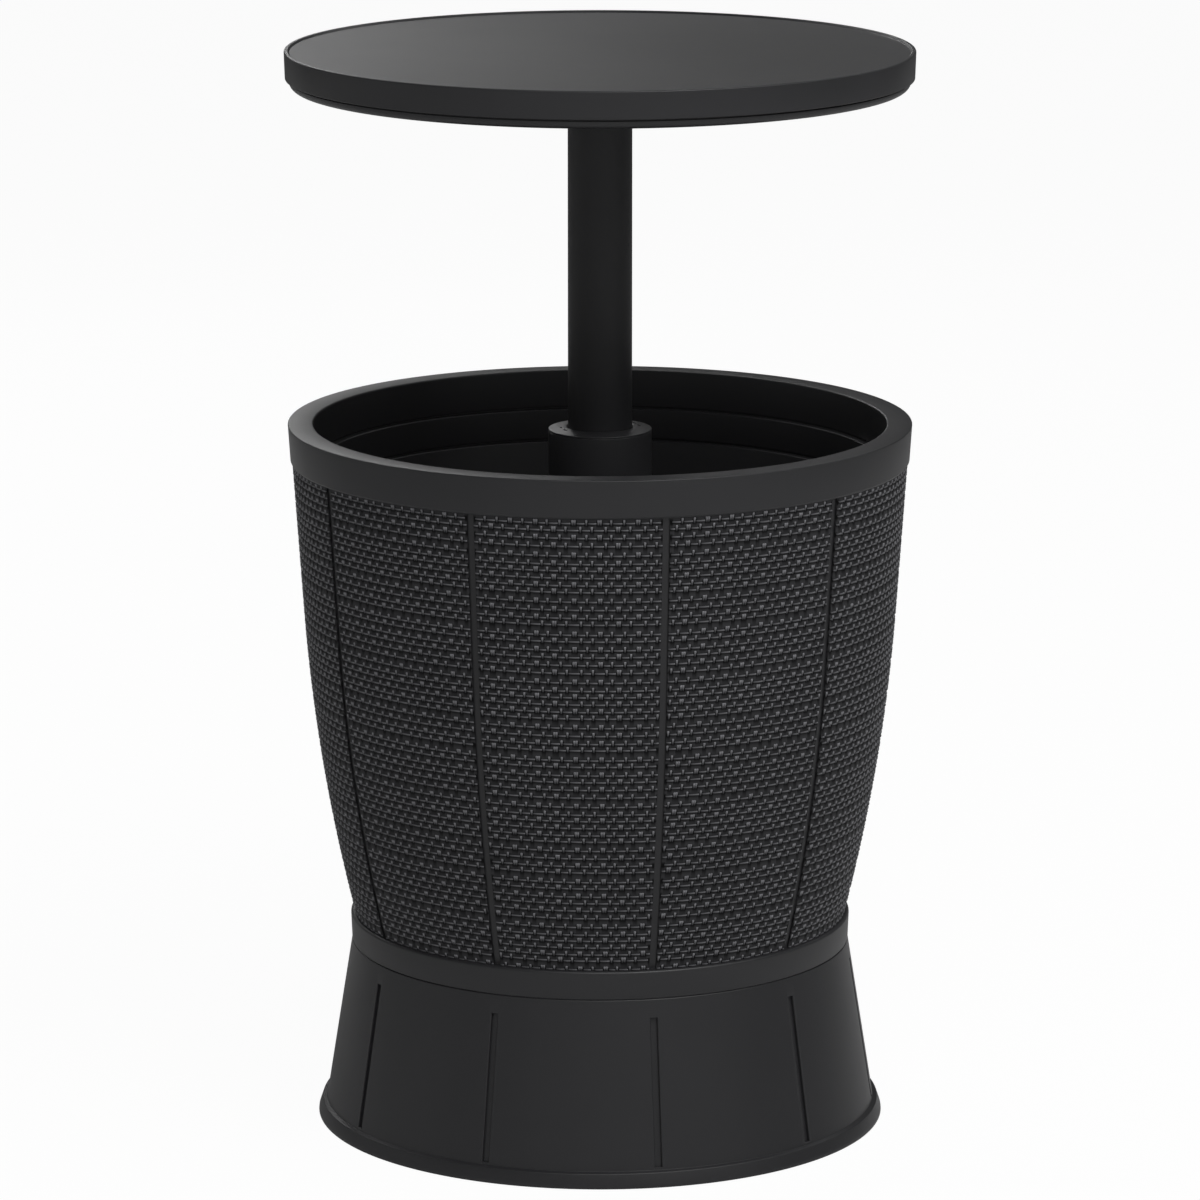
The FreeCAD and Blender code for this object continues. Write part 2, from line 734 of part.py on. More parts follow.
def make_tub():
    """Cooler tub in one moulding: rim, stepped wall, and floor with sump and tower hole."""
    body = new_body("tub")
    wall = dim.tub_wall
    band_inner = rim_foot_radius - dim.rim_wall
    turned(body, "Tub", [
        Corner(tower_seat_radius, dim.tub_floor),
        Corner(tub_floor_radius, dim.tub_floor, dim.tub_corner_round),
        Corner(lower_wall_top, lower_ledge, dim.ledge_round),
        Corner(middle_wall_top - dim.wall_draft, lower_ledge),
        Corner(middle_wall_top, upper_ledge, dim.ledge_round),
        Corner(mouth_radius - dim.wall_draft, upper_ledge),
        Corner(mouth_radius, dim.rim_top, dim.mouth_round),
        Corner(dim.rim_outer_radius, dim.rim_top, dim.rim_edge_round),
        Corner(rim_foot_radius, weave_top + dim.rim_chamfer_rise),
        Corner(rim_foot_radius - dim.rim_chamfer_run, weave_top),
        Corner(band_inner, weave_top),
        Corner(band_inner, neck_top),
        Corner(mouth_radius + wall, neck_top),
        Corner(mouth_radius - dim.wall_draft + wall, upper_ledge - wall),
        Corner(middle_wall_top + wall, upper_ledge - wall),
        Corner(middle_wall_top - dim.wall_draft + wall, lower_ledge - wall),
        Corner(lower_wall_top + wall, lower_ledge - wall),
        Corner(tub_floor_radius + wall, tub_under),
        Corner(tower_seat_radius, tub_under),
    ])
    post(body, "SumpWall", sump_radius + wall, sump_floor - wall,
         dim.tub_floor - wall / 2, drain_place)
    post(body, "Sump", sump_radius, sump_floor, dim.tub_floor + wall, drain_place, cut=True)
    post(body, "DrainHole", dim.drain_tube_radius + dim.fit_gap, sump_floor - wall * 2,
         sump_floor + wall, drain_place, cut=True)


def make_centre_tower():
    """Tower round the guide tube, with a spigot that is welded into the tub's floor."""
    body = new_body("centre_tower")
    turned(body, "Tower", [
        Corner(tower_bore, tower_top),
        Corner(tower_radius - dim.tower_chamfer, tower_top),
        Corner(tower_radius, tower_top - dim.tower_chamfer),
        Corner(tower_radius + dim.tower_draft, dim.tub_floor),
        Corner(tower_spigot_radius, dim.tub_floor),
        Corner(tower_spigot_radius, tub_under),
        Corner(tower_bore, tub_under),
    ])


def make_foam_jacket():
    """Insulation that fills the space between barrel and tub and carries the tub's floor."""
    body = new_body("foam_jacket")
    inset = dim.barrel_wall + dim.foam_gap
    outset = dim.tub_wall + dim.foam_gap
    foam_top = neck_top - dim.foam_top_gap
    turned(body, "Foam", [
        Corner(guide_radius + dim.foam_gap, foam_low),
        Corner(barrel_curve(foam_low, inset), foam_low, bow=dim.barrel_curve_radius),
        Corner(barrel_bend_radius - inset, dim.barrel_bend_height),
        Corner(barrel_top_radius - inset, weave_top),
        Corner(barrel_top_radius - inset, foam_top),
        Corner(mouth_radius + outset, foam_top),
        Corner(mouth_radius - dim.wall_draft + outset, upper_ledge - outset),
        Corner(middle_wall_top + outset, upper_ledge - outset),
        Corner(middle_wall_top - dim.wall_draft + outset, lower_ledge - outset),
        Corner(lower_wall_top + outset, lower_ledge - outset),
        Corner(tub_floor_radius + outset, tub_under),
        Corner(guide_radius + dim.foam_gap, tub_under),
    ])
    post(body, "SumpPocket", sump_radius + outset, sump_floor - outset, dim.tub_floor,
         drain_place, cut=True)
    post(body, "DrainHole", dim.drain_tube_radius + dim.foam_gap, foam_low - outset,
         sump_floor, drain_place, cut=True)


def make_support_deck():
    """Ribbed plate that closes the barrel's foot and holds up foam, tub and guide tube."""
    body = new_body("support_deck")
    edge = barrel_curve(band_top, dim.barrel_wall) - dim.deck_clearance
    thickness = dim.deck_rib_thickness
    hub = deck_hub_radius
    turned(body, "Plate", [
        Corner(deck_hole_radius, deck_low),
        Corner(edge, deck_low),
        Corner(edge, foam_low),
        Corner(edge - thickness, foam_low),
        Corner(edge - thickness, deck_top),
        Corner(hub + thickness, deck_top),
        Corner(hub + thickness, foam_low),
        Corner(hub, foam_low),
        Corner(hub, deck_top),
        Corner(deck_hole_radius, deck_top),
    ])
    bar = rib(body, "Rib", hub + thickness / 2, edge - thickness / 2, thickness,
              deck_top, foam_low, dim.deck_rib_angle)
    around(body, "Ribs", [bar], dim.deck_rib_count)
    boss = post(body, "ScrewBoss", dim.base_screw_radius + dim.base_screw_boss_wall, deck_top,
                base_screw_tip + dim.screw_clearance, base_screw_circle)
    around(body, "ScrewBosses", [boss], dim.base_screw_count)
    add_deck_holes(body)


def add_deck_holes(body):
    """Holes in the deck for its screws, the guide tube's screws and the drain tube."""
    hole = post(body, "ScrewHole", dim.base_screw_radius + dim.screw_clearance, deck_low,
                base_screw_tip + dim.screw_clearance, base_screw_circle, cut=True)
    around(body, "ScrewHoles", [hole], dim.base_screw_count)
    hole = post(body, "TubeScrewHole", dim.small_screw_radius + dim.screw_clearance,
                deck_low, deck_top, tube_screw_circle, cut=True)
    around(body, "TubeScrewHoles", [hole], dim.tube_screw_count)
    post(body, "DrainHole", dim.drain_tube_radius + dim.fit_gap, deck_low, deck_top,
         drain_place, cut=True)


def make_guide_tube():
    """Tube inside the tower, with keyways and a turning gallery at each end of the travel."""
    body = new_body("guide_tube")
    turned(body, "Tube", [
        Corner(guide_bore_radius, deck_top),
        Corner(guide_flange_radius, deck_top),
        Corner(guide_flange_radius, deck_top + dim.guide_flange_thickness),
        Corner(guide_radius, deck_top + dim.guide_flange_thickness),
        Corner(guide_radius, guide_top),
        Corner(guide_bore_radius, guide_top),
    ])
    inside = guide_bore_radius - dim.fit_gap
    keyway_angle = dim.lug_angle + lug_slack * 2
    keyway = turned(body, "Keyway", box_outline(inside, keyway_radius, deck_top, guide_top),
                    keyway_angle, cut=True)
    around(body, "Keyways", [keyway], dim.keyway_count)
    for name, drop in (("Upper", as_size(0)), ("Lower", lift_travel)):
        section = box_outline(inside, keyway_radius, lug_low - drop - dim.fit_gap,
                              lug_top - drop + dim.fit_gap)
        gallery = turned(body, name + "Gallery", section, keyway_angle + dim.twist_angle,
                         dim.twist_angle / 2, cut=True)
        around(body, name + "Galleries", [gallery], dim.keyway_count)
    hole = post(body, "ScrewHole", dim.small_screw_radius + dim.screw_clearance, deck_top,
                deck_top + dim.guide_flange_thickness, tube_screw_circle, cut=True)
    around(body, "ScrewHoles", [hole], dim.tube_screw_count)


def make_tube_screws():
    """Screws up through the deck into the guide tube's flange."""
    upright_screws("tube_screws", tube_screw_circle, dim.tube_screw_count,
                   dim.small_screw_radius, dim.small_screw_head_radius,
                   dim.small_screw_head_height, deck_low,
                   deck_top + dim.guide_flange_thickness - dim.fit_gap)


def make_upper_bush():
    """Flanged bush in the top of the guide tube, where the column slides."""
    body = new_body("upper_bush")
    bore = dim.column_radius + dim.running_gap
    plug = guide_bore_radius - dim.running_gap
    turned(body, "Bush", [
        Corner(bore, upper_bush_low),
        Corner(plug, upper_bush_low),
        Corner(plug, guide_top),
        Corner(guide_radius, guide_top),
        Corner(guide_radius, upper_bush_top),
        Corner(bore, upper_bush_top),
    ])


def make_lock_collar():
    """Round plate on top of the tower, which holds the upper bush down."""
    body = new_body("lock_collar")
    bore = dim.column_radius + dim.fit_gap
    turned(body, "Collar", [
        Corner(bore, tower_top),
        Corner(collar_spigot_radius, tower_top),
        Corner(collar_spigot_radius, upper_bush_top),
        Corner(guide_radius, upper_bush_top),
        Corner(guide_radius, tower_top),
        Corner(tower_radius, tower_top),
        Corner(tower_radius, collar_top, dim.collar_edge_round),
        Corner(bore + dim.collar_bore_chamfer, collar_top),
        Corner(bore, collar_top - dim.collar_bore_chamfer),
    ])


def make_glide_bush():
    """Keyed bush on the column's foot: it slides with the column and doesn't turn."""
    body = new_body("glide_bush")
    outer = guide_bore_radius - dim.running_gap
    turned(body, "Bush", box_outline(dim.column_radius + dim.running_gap, outer,
                                     glide_bush_low, glide_bush_top))
    key = turned(body, "Key", box_outline(outer - dim.fit_gap * 2, keyway_radius - dim.fit_gap,
                                          glide_bush_low, glide_bush_top), dim.lug_angle)
    around(body, "Keys", [key], dim.keyway_count)


def make_stop_ring():
    """Ring pinned to the column, which stops the lift under the upper bush."""
    body = new_body("stop_ring")
    turned(body, "Ring", box_outline(dim.column_radius + dim.running_gap,
                                     guide_bore_radius - dim.fit_gap,
                                     stop_ring_low, stop_ring_top))
    pin_hole(body)


def make_lock_foot():
    """Hollow plug in the column's foot, with three locking lugs below the column."""
    body = new_body("lock_foot")
    disc = guide_bore_radius - dim.fit_gap
    spigot = dim.column_radius - dim.column_wall - dim.running_gap
    hollow = spigot - dim.foot_plug_wall
    top = stop_ring_top + dim.foot_plug_head
    turned(body, "Plug", [
        Corner(0, lug_low),
        Corner(disc, lug_low),
        Corner(disc, lug_top),
        Corner(spigot, lug_top),
        Corner(spigot, top),
        Corner(hollow, top),
        Corner(hollow, lug_low + dim.foot_plug_wall),
        Corner(0, lug_low + dim.foot_plug_wall),
    ])
    lug = turned(body, "Lug", box_outline(disc - dim.fit_gap * 2, keyway_radius - dim.fit_gap,
                                          lug_low, lug_top), dim.lug_angle)
    around(body, "Lugs", [lug], dim.keyway_count)
    pin_hole(body)


def level_circle(body, name, radius, height, reach=None):
    """Sketch a circle that faces +X at a height, at a reach from the Z axis."""
    sketch = new_sketch(body, name + "_outline", "YZ_Plane", lift=reach)
    circle = Part.Circle(FreeCAD.Vector(0, height.value, 0), FreeCAD.Vector(0, 0, 1), radius.value)
    sketch.addGeometry(circle, False)
    sketch.addConstraint(Sketcher.Constraint("PointOnObject", 0, 3, -2))
    index = sketch.addConstraint(Sketcher.Constraint("DistanceY", -1, 1, 0, 3, height.value))
    sketch.setExpression(f"Constraints[{index}]", height.text)
    bind_radius(sketch, 0, radius)
    return sketch


def cross_bar(body, name, radius, height, length, cut=False):
    """Add or cut a level round bar through the Z axis."""
    feature = body.newObject("PartDesign::Pocket" if cut else "PartDesign::Pad", name)
    feature.Profile = level_circle(body, name, radius, height)
    feature.SideType = "Symmetric"
    feature.setExpression("Length", length.text)
    if cut:
        CUTS.append(feature)
    return feature


def side_bar(body, name, radius, inner, outer, height, cut=False):
    """Add or cut a level round bar that points away from the Z axis."""
    feature = body.newObject("PartDesign::Pocket" if cut else "PartDesign::Pad", name)
    feature.Profile = level_circle(body, name, radius, height, inner)
    feature.setExpression("Length", (outer - inner).text)
    if cut:
        feature.Reversed = True
        CUTS.append(feature)
    return feature


def pin_hole(body):
    """Cross hole for the pin, half way up the stop ring."""
    cross_bar(body, "PinHole", dim.foot_pin_radius + dim.running_gap, foot_pin_height,
              guide_radius * 2, cut=True)


def make_foot_pin():
    """Cross pin through stop ring, column and lock foot."""
    body = new_body("foot_pin")
    cross_bar(body, "Pin", dim.foot_pin_radius, foot_pin_height,
              (guide_bore_radius - dim.fit_gap * 2) * 2)


def make_column():
    """Round tube that carries the table top."""
    body = new_body("column")
    turned(body, "Tube", box_outline(dim.column_radius - dim.column_wall, dim.column_radius,
                                     lug_top, column_top))
    pin_hole(body)
    hole = side_bar(body, "SideScrewHole", dim.small_screw_radius + dim.screw_clearance,
                    dim.column_radius - dim.column_wall * 2, dim.column_radius + dim.column_wall,
                    side_screw_level, cut=True)
    around(body, "SideScrewHoles", [hole], as_size(2))


def make_column_flange():
    """Socket under the table top: a disc on the pan and a sleeve round the column."""
    body = new_body("column_flange")
    bore = dim.column_radius + dim.running_gap
    sleeve = bore + dim.socket_wall
    turned(body, "Socket", [
        Corner(bore, pan_floor),
        Corner(socket_radius, pan_floor),
        Corner(socket_radius, socket_disc_top),
        Corner(sleeve, socket_disc_top),
        Corner(sleeve, skin_under),
        Corner(0, skin_under),
        Corner(0, column_top),
        Corner(bore, column_top),
    ])
    boss = post(body, "Boss", dim.small_screw_radius + dim.socket_boss_wall, pan_floor, socket_screw_tip,
                socket_screw_circle)
    around(body, "Bosses", [boss], dim.socket_screw_count)
    hole = post(body, "ScrewHole", dim.small_screw_radius + dim.screw_clearance, pan_floor,
                socket_screw_tip, socket_screw_circle, cut=True)
    around(body, "ScrewHoles", [hole], dim.socket_screw_count)
    hole = side_bar(body, "SideScrewHole", dim.small_screw_radius + dim.screw_clearance,
                    bore - dim.socket_wall, sleeve + dim.socket_wall / 2, side_screw_level,
                    cut=True)
    around(body, "SideScrewHoles", [hole], as_size(2))


def make_column_screws():
    """Two side screws through the socket's sleeve into the column."""
    body = new_body("column_screws")
    sleeve = dim.column_radius + dim.running_gap + dim.socket_wall
    head = side_bar(body, "Head", dim.small_screw_head_radius, sleeve,
                    sleeve + dim.small_screw_head_height, side_screw_level)
    shank = side_bar(body, "Shank", dim.small_screw_radius, sleeve - dim.side_screw_length,
                     sleeve, side_screw_level)
    around(body, "Screws", [head, shank], as_size(2))


def make_flange_screws():
    """Screws up through the pan into the column's socket."""
    upright_screws("flange_screws", socket_screw_circle, dim.socket_screw_count,
                   dim.small_screw_radius, dim.small_screw_head_radius,
                   dim.small_screw_head_height, pan_under, socket_screw_tip - dim.fit_gap)


def make_lid_tray():
    """Table top: flat skin with a low lip, a plain band and screw bosses below."""
    body = new_body("lid_tray")
    band_inner = lid_foot_radius - dim.lid_band_wall
    lip_inner = lid_radius - dim.lip_width
    turned(body, "Tray", [
        Corner(0, lid_recess),
        Corner(lip_inner - dim.lip_slope, lid_recess),
        Corner(lip_inner, lid_top),
        Corner(lid_radius, lid_top, dim.lid_edge_round),
        Corner(lid_foot_radius, lid_band_foot, dim.lid_foot_round),
        Corner(band_inner, lid_band_foot),
        Corner(band_inner, skin_under),
        Corner(0, skin_under),
    ])
    boss = post(body, "Boss", dim.lid_boss_radius, pan_floor, skin_under, lid_screw_circle)
    around(body, "Bosses", [boss], dim.lid_screw_count)
    hole = post(body, "ScrewHole", dim.small_screw_radius + dim.screw_clearance, pan_floor,
                lid_screw_tip + dim.fit_gap, lid_screw_circle, cut=True)
    around(body, "ScrewHoles", [hole], dim.lid_screw_count)


def make_lid_pan():
    """Lower moulding of the table top, with a rounded corner and a groove for the seal."""
    body = new_body("lid_pan")
    neck = pan_radius - dim.shadow_depth
    seal_top = pan_under + dim.seal_depth
    seal_outer = seal_inner_radius + dim.seal_width
    turned(body, "Pan", [
        Corner(dim.column_radius + dim.fit_gap, pan_under),
        Corner(seal_inner_radius, pan_under),
        Corner(seal_inner_radius, seal_top),
        Corner(seal_outer, seal_top),
        Corner(seal_outer, pan_under),
        Corner(pan_radius, pan_under, dim.pan_corner_round),
        Corner(pan_radius, pan_shoulder),
        Corner(neck, pan_shoulder),
        Corner(neck, pan_shoulder + dim.pan_spigot),
        Corner(neck - dim.pan_wall, pan_shoulder + dim.pan_spigot),
        Corner(neck - dim.pan_wall, pan_floor),
        Corner(dim.column_radius + dim.fit_gap, pan_floor),
    ])
    for name, circle, count in (("Lid", lid_screw_circle, dim.lid_screw_count),
                                ("Socket", socket_screw_circle, dim.socket_screw_count)):
        hole = post(body, name + "ScrewHole", dim.small_screw_radius + dim.screw_clearance,
                    pan_under, pan_floor, circle, cut=True)
        around(body, name + "ScrewHoles", [hole], count)


def make_lid_screws():
    """Screws up through the pan into the tray's bosses."""
    upright_screws("lid_screws", lid_screw_circle, dim.lid_screw_count,
                   dim.small_screw_radius, dim.small_screw_head_radius,
                   dim.small_screw_head_height, pan_under, lid_screw_tip)


def make_lid_seal():
    """Rubber ring flush in the pan's groove, over the tub's rim when shut."""
    body = new_body("lid_seal")
    turned(body, "Seal", box_outline(seal_inner_radius + dim.running_gap,
                                     seal_inner_radius + dim.seal_width - dim.running_gap,
                                     pan_under, pan_under + dim.seal_depth))


def make_lid_foam():
    """Insulation disc in the table top, inside the ring of bosses."""
    body = new_body("lid_foam")
    turned(body, "Disc", box_outline(socket_radius + dim.lid_foam_gap, lid_foam_radius,
                                     pan_floor, skin_under - dim.foam_gap))


def make_drain_fitting():
    """Flanged drain tube from the sump down through foam and deck, with a hose spigot."""
    body = new_body("drain_fitting")
    spigot_top = deck_low - dim.drain_nut_height
    spigot_low = spigot_top - dim.drain_spigot_length
    post(body, "Spigot", dim.drain_tube_radius - dim.drain_spigot_step, spigot_low,
         spigot_top, drain_place)
    post(body, "Tube", dim.drain_tube_radius, spigot_top, drain_seat, drain_place)
    post(body, "Flange", drain_flange_radius, drain_seat, drain_top, drain_place)
    post(body, "Bore", drain_bore_radius, spigot_low, drain_top, drain_place, cut=True)


def make_drain_washer():
    """Rubber washer between the drain flange and the sump floor."""
    body = new_body("drain_washer")
    post(body, "Washer", drain_flange_radius - dim.fit_gap, sump_floor, drain_seat, drain_place)
    post(body, "Hole", dim.drain_tube_radius + dim.running_gap, sump_floor, drain_seat,
         drain_place, cut=True)


def make_drain_nut():
    """Hexagon nut that clamps the drain tube under the deck."""
    block = DOCUMENT.addObject("Part::Prism", "NutBlock")
    block.Polygon = 6
    block.setExpression("Circumradius", (dim.drain_tube_radius + dim.drain_nut_width).text)
    hole = DOCUMENT.addObject("Part::Cylinder", "NutHole")
    hole.setExpression("Radius", (dim.drain_tube_radius + dim.running_gap).text)
    for shape in (block, hole):
        shape.setExpression("Height", dim.drain_nut_height.text)
        shape.setExpression("Placement.Base.x", drain_place.text)
        shape.setExpression("Placement.Base.z", (deck_low - dim.drain_nut_height).text)
    nut = DOCUMENT.addObject("Part::Cut", "Nut")
    nut.Base = block
    nut.Tool = hole
    sub_part(nut, "drain_nut")


def make_drain_plug():
    """Stopper that pulls up out of the drain tube, with a bar handle."""
    body = new_body("drain_plug")
    head_top = drain_top + dim.plug_head_height
    post(body, "Stem", drain_bore_radius - dim.plug_stem_gap,
         drain_top - dim.plug_stem_length, drain_top, drain_place)
    post(body, "Head", drain_bore_radius + dim.plug_head_lip, drain_top, head_top, drain_place)
    handle = body.newObject("PartDesign::AdditiveBox", "Handle")
    handle.setExpression("Length", dim.plug_handle_length.text)
    handle.setExpression("Width", dim.plug_handle_width.text)
    handle.setExpression("Height", dim.plug_handle_height.text)
    handle.setExpression("Placement.Base.x", (drain_place - dim.plug_handle_length / 2).text)
    handle.setExpression("Placement.Base.y", (dim.plug_handle_width * -0.5).text)
    handle.setExpression("Placement.Base.z", head_top.text)
    groove = body.newObject("PartDesign::SubtractiveTorus", "RingGroove")
    shape_drain_ring(groove)
    CUTS.append(groove)


def shape_drain_ring(torus):
    """Size and place a torus as the drain stopper's sealing ring."""
    reach = drain_bore_radius - dim.running_gap - dim.ring_section_radius
    torus.setExpression("Radius1", reach.text)
    torus.setExpression("Radius2", dim.ring_section_radius.text)
    torus.setExpression("Placement.Base.x", drain_place.text)
    torus.setExpression("Placement.Base.z", (drain_top - dim.ring_drop).text)


def make_drain_o_ring():
    """Rubber sealing ring in the stopper's groove."""
    body = new_body("drain_o_ring")
    shape_drain_ring(body.newObject("PartDesign::AdditiveTorus", "Ring"))


def make_all():
    """Make every sub-part, from the floor up."""
    make_base_skirt()
    make_foot_pads()
    make_base_screws()
    make_barrel_shell()
    make_support_deck()
    make_foam_jacket()
    make_tub()
    make_centre_tower()
    make_guide_tube()
    make_tube_screws()
    make_upper_bush()
    make_lock_collar()
    make_drain_fitting()
    make_drain_washer()
    make_drain_nut()
    make_drain_plug()
    make_drain_o_ring()
    make_glide_bush()
    make_lock_foot()
    make_stop_ring()
    make_foot_pin()
    make_column()
    make_column_flange()
    make_column_screws()
    make_flange_screws()
    make_lid_pan()
    make_lid_seal()
    make_lid_foam()
    make_lid_screws()
    make_lid_tray()


def check_document():
    """Stop if an object failed, a sketch is loose, a cut missed or a shape is bad."""
    for item in DOCUMENT.Objects:
        if "Invalid" in item.State or "Error" in item.State:
            raise RuntimeError(f"{item.Name} failed: {item.State}")
        if item.TypeId == "Sketcher::SketchObject" and not item.FullyConstrained:
            raise RuntimeError(f"{item.Name} isn't fully constrained")
    for cut in CUTS:
        if cut.Shape.Volume >= cut.BaseFeature.Shape.Volume:
            raise RuntimeError(f"{cut.Name} cuts nothing")
    for part in SUB_PARTS:
        if part.Shape.isNull() or not part.Shape.isValid() or part.Shape.Volume <= 0:
            raise RuntimeError(f"{part.Label} has no valid shape")


def export_parts():
    """Write each sub-part to its own STEP file."""
    os.makedirs("parts", exist_ok=True)
    for part in SUB_PARTS:
        part.Shape.exportStep(f"parts/{part.Label}.step")
        solids = len(part.Shape.Solids)
        print(f"{part.Label}: {solids} solid(s), {part.Shape.Volume / 1000:.1f} cm3")


make_all()
DOCUMENT.recompute()
check_document()
export_parts()
print(f"lift travel {lift_travel.value:.2f} mm, drain at {drain_place.value:.1f} mm")
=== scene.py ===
"""Cooler table with lid: the looks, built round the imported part.

Every object is in metres in the part's own frame. Sizes in this file are in millimetres
until they meet Blender. The front of the table, towards the camera, is -Y.
"""

import json
import logging
import math
from dataclasses import dataclass, field
from enum import Enum
from typing import Any, Callable, Sequence

import bmesh
import bpy
import numpy as np
from mathutils import Matrix, Vector


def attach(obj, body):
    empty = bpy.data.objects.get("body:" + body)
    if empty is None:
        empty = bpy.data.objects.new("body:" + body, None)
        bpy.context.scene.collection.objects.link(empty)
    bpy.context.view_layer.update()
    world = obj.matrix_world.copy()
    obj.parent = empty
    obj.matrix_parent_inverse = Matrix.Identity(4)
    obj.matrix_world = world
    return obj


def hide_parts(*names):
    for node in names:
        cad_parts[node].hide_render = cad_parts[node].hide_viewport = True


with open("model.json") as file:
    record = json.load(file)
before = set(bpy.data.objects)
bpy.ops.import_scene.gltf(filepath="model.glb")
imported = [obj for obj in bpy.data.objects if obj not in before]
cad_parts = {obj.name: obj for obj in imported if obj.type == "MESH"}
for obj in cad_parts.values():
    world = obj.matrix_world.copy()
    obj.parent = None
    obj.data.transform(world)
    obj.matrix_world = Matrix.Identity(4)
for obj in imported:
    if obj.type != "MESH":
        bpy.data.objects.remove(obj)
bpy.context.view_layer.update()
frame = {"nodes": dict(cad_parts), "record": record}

MM = 0.001
# Points closer than this, in metres, count as one
SAME_PLACE = 1e-6
# Points round a turned piece, by how wide it is
WIDE_SEGMENTS = 240
TUBE_SEGMENTS = 128
SUMP_SEGMENTS = 64
BOSS_SEGMENTS = 48
GROOVE_COUNT = 10
FIRST_GROOVE_DEG = -78.0
PANEL_DEG = 360.0 / GROOVE_COUNT

log = logging.getLogger("cooler_table")


class Body(Enum):
    """The bodies that pieces ride on."""

    COOLER = "cooler_body"
    TOP = "table_top"


class Operation(Enum):
    """How one solid changes another."""

    WELD = "UNION"
    CUT = "DIFFERENCE"


# Small tools for colours, nodes and meshes


def linear_colour(hex_colour: str) -> tuple[float, float, float, float]:
    """Turn an sRGB hex colour into linear RGBA.

    Args:
        hex_colour: Six hex digits after a hash.

    Returns:
        The linear red, green, blue and an alpha of one.
    """
    digits = hex_colour.lstrip("#")
    channels = [int(digits[i:i + 2], 16) / 255 for i in (0, 2, 4)]
    red, green, blue = (
        c / 12.92 if c <= 0.04045 else ((c + 0.055) / 1.055) ** 2.4 for c in channels
    )
    return red, green, blue, 1.0


def add_node(
    tree: bpy.types.NodeTree,
    kind: str,
    settings: dict[str, Any] | None = None,
    inputs: dict[str | int, Any] | None = None,
) -> bpy.types.Node:
    """Add one node with its settings and its inputs.

    Args:
        tree: The node tree that gets it.
        kind: The node's type name.
        settings: Properties to set on the node.
        inputs: Values or output sockets, by input name or number.

    Returns:
        The new node.
    """
    node = tree.nodes.new(kind)
    for key, value in (settings or {}).items():
        setattr(node, key, value)
    for key, value in (inputs or {}).items():
        if isinstance(value, bpy.types.NodeSocket):
            tree.links.new(value, node.inputs[key])
        else:
            node.inputs[key].default_value = value
    return node


def deselect_all() -> None:
    """Leave nothing selected, so that an operator acts on the new piece alone."""
    if bpy.context.object and bpy.context.object.mode != "OBJECT":
        bpy.ops.object.mode_set(mode="OBJECT")
    bpy.ops.object.select_all(action="DESELECT")


def enter_edit(piece: bpy.types.Object) -> None:
    """Open one piece in edit mode with all of it selected.

    Args:
        piece: The piece.
    """
    deselect_all()
    bpy.context.view_layer.objects.active = piece
    piece.select_set(True)
    bpy.ops.object.mode_set(mode="EDIT")
    bpy.ops.mesh.select_mode(type="VERT")
    bpy.ops.mesh.select_all(action="SELECT")


def leave_edit() -> None:
    """Go back to object mode."""
    bpy.ops.object.mode_set(mode="OBJECT")


def select_edges(
    piece: bpy.types.Object, wanted: Callable[[Vector, Vector], bool]
) -> None:
    """Select the edges of a piece in edit mode by their place.

    Args:
        piece: The piece that is open in edit mode.
        wanted: Takes an edge's two ends and says whether to select it.
    """
    mesh = bmesh.from_edit_mesh(piece.data)
    bpy.ops.mesh.select_mode(type="EDGE")
    for edge in mesh.edges:
        edge.select_set(bool(wanted(edge.verts[0].co, edge.verts[1].co)))
    mesh.select_flush_mode()
    bmesh.update_edit_mesh(piece.data)


@dataclass(frozen=True)
class Ring:
    """One ring of a turned piece, in millimetres, with the rounding of its edge."""

    radius: float
    height: float
    rounding: float = 0.0


def rounding_offset(before: Ring, ring: Ring, after: Ring) -> float:
    """Distance from a ring's edge at which its rounding starts.

    Args:
        before: The ring before it in the outline.
        ring: The ring that is rounded.
        after: The ring after it.

    Returns:
        The tangent length in millimetres.
    """
    first = Vector((before.radius - ring.radius, before.height - ring.height))
    second = Vector((after.radius - ring.radius, after.height - ring.height))
    return ring.rounding / math.tan(first.angle(second) / 2)


def turned_piece(
    name: str, rings: Sequence[Ring], segments: int = WIDE_SEGMENTS, steps: int = 5,
    solid: bool = False,
) -> bpy.types.Object:
    """Model a closed turned piece: a circle, extruded and scaled from ring to ring.

    Args:
        name: The piece's name.
        rings: Its outline, as rings in order round the section.
        segments: Points round each ring.
        steps: Faces across each rounded edge.
        solid: Whether it fills the middle, with a flat face on its first and last ring.

    Returns:
        The piece, in its place.
    """
    deselect_all()
    first = rings[0]
    bpy.ops.mesh.primitive_circle_add(
        vertices=segments, radius=first.radius * MM, location=(0, 0, first.height * MM)
    )
    piece = bpy.context.object
    piece.name = piece.data.name = name
    bpy.ops.object.transform_apply(location=True, rotation=True, scale=True)
    enter_edit(piece)
    for before, ring in zip(rings, rings[1:] if solid else [*rings[1:], first]):
        bpy.ops.mesh.extrude_region_move(
            TRANSFORM_OT_translate={"value": (0, 0, (ring.height - before.height) * MM)}
        )
        size = ring.radius / before.radius
        bpy.ops.transform.resize(value=(size, size, 1), center_override=(0, 0, 0))
    bpy.ops.mesh.select_all(action="SELECT")
    bpy.ops.mesh.remove_doubles(threshold=SAME_PLACE)
    if solid:
        for ring in (first, rings[-1]):
            select_edges(piece, ring_test(ring))
            bpy.ops.mesh.edge_face_add()
        bpy.ops.mesh.select_all(action="SELECT")
    bpy.ops.mesh.normals_make_consistent(inside=False)
    for index, ring in enumerate(rings):
        if ring.rounding:
            round_ring(piece, rings, index, steps)
    leave_edit()
    return piece


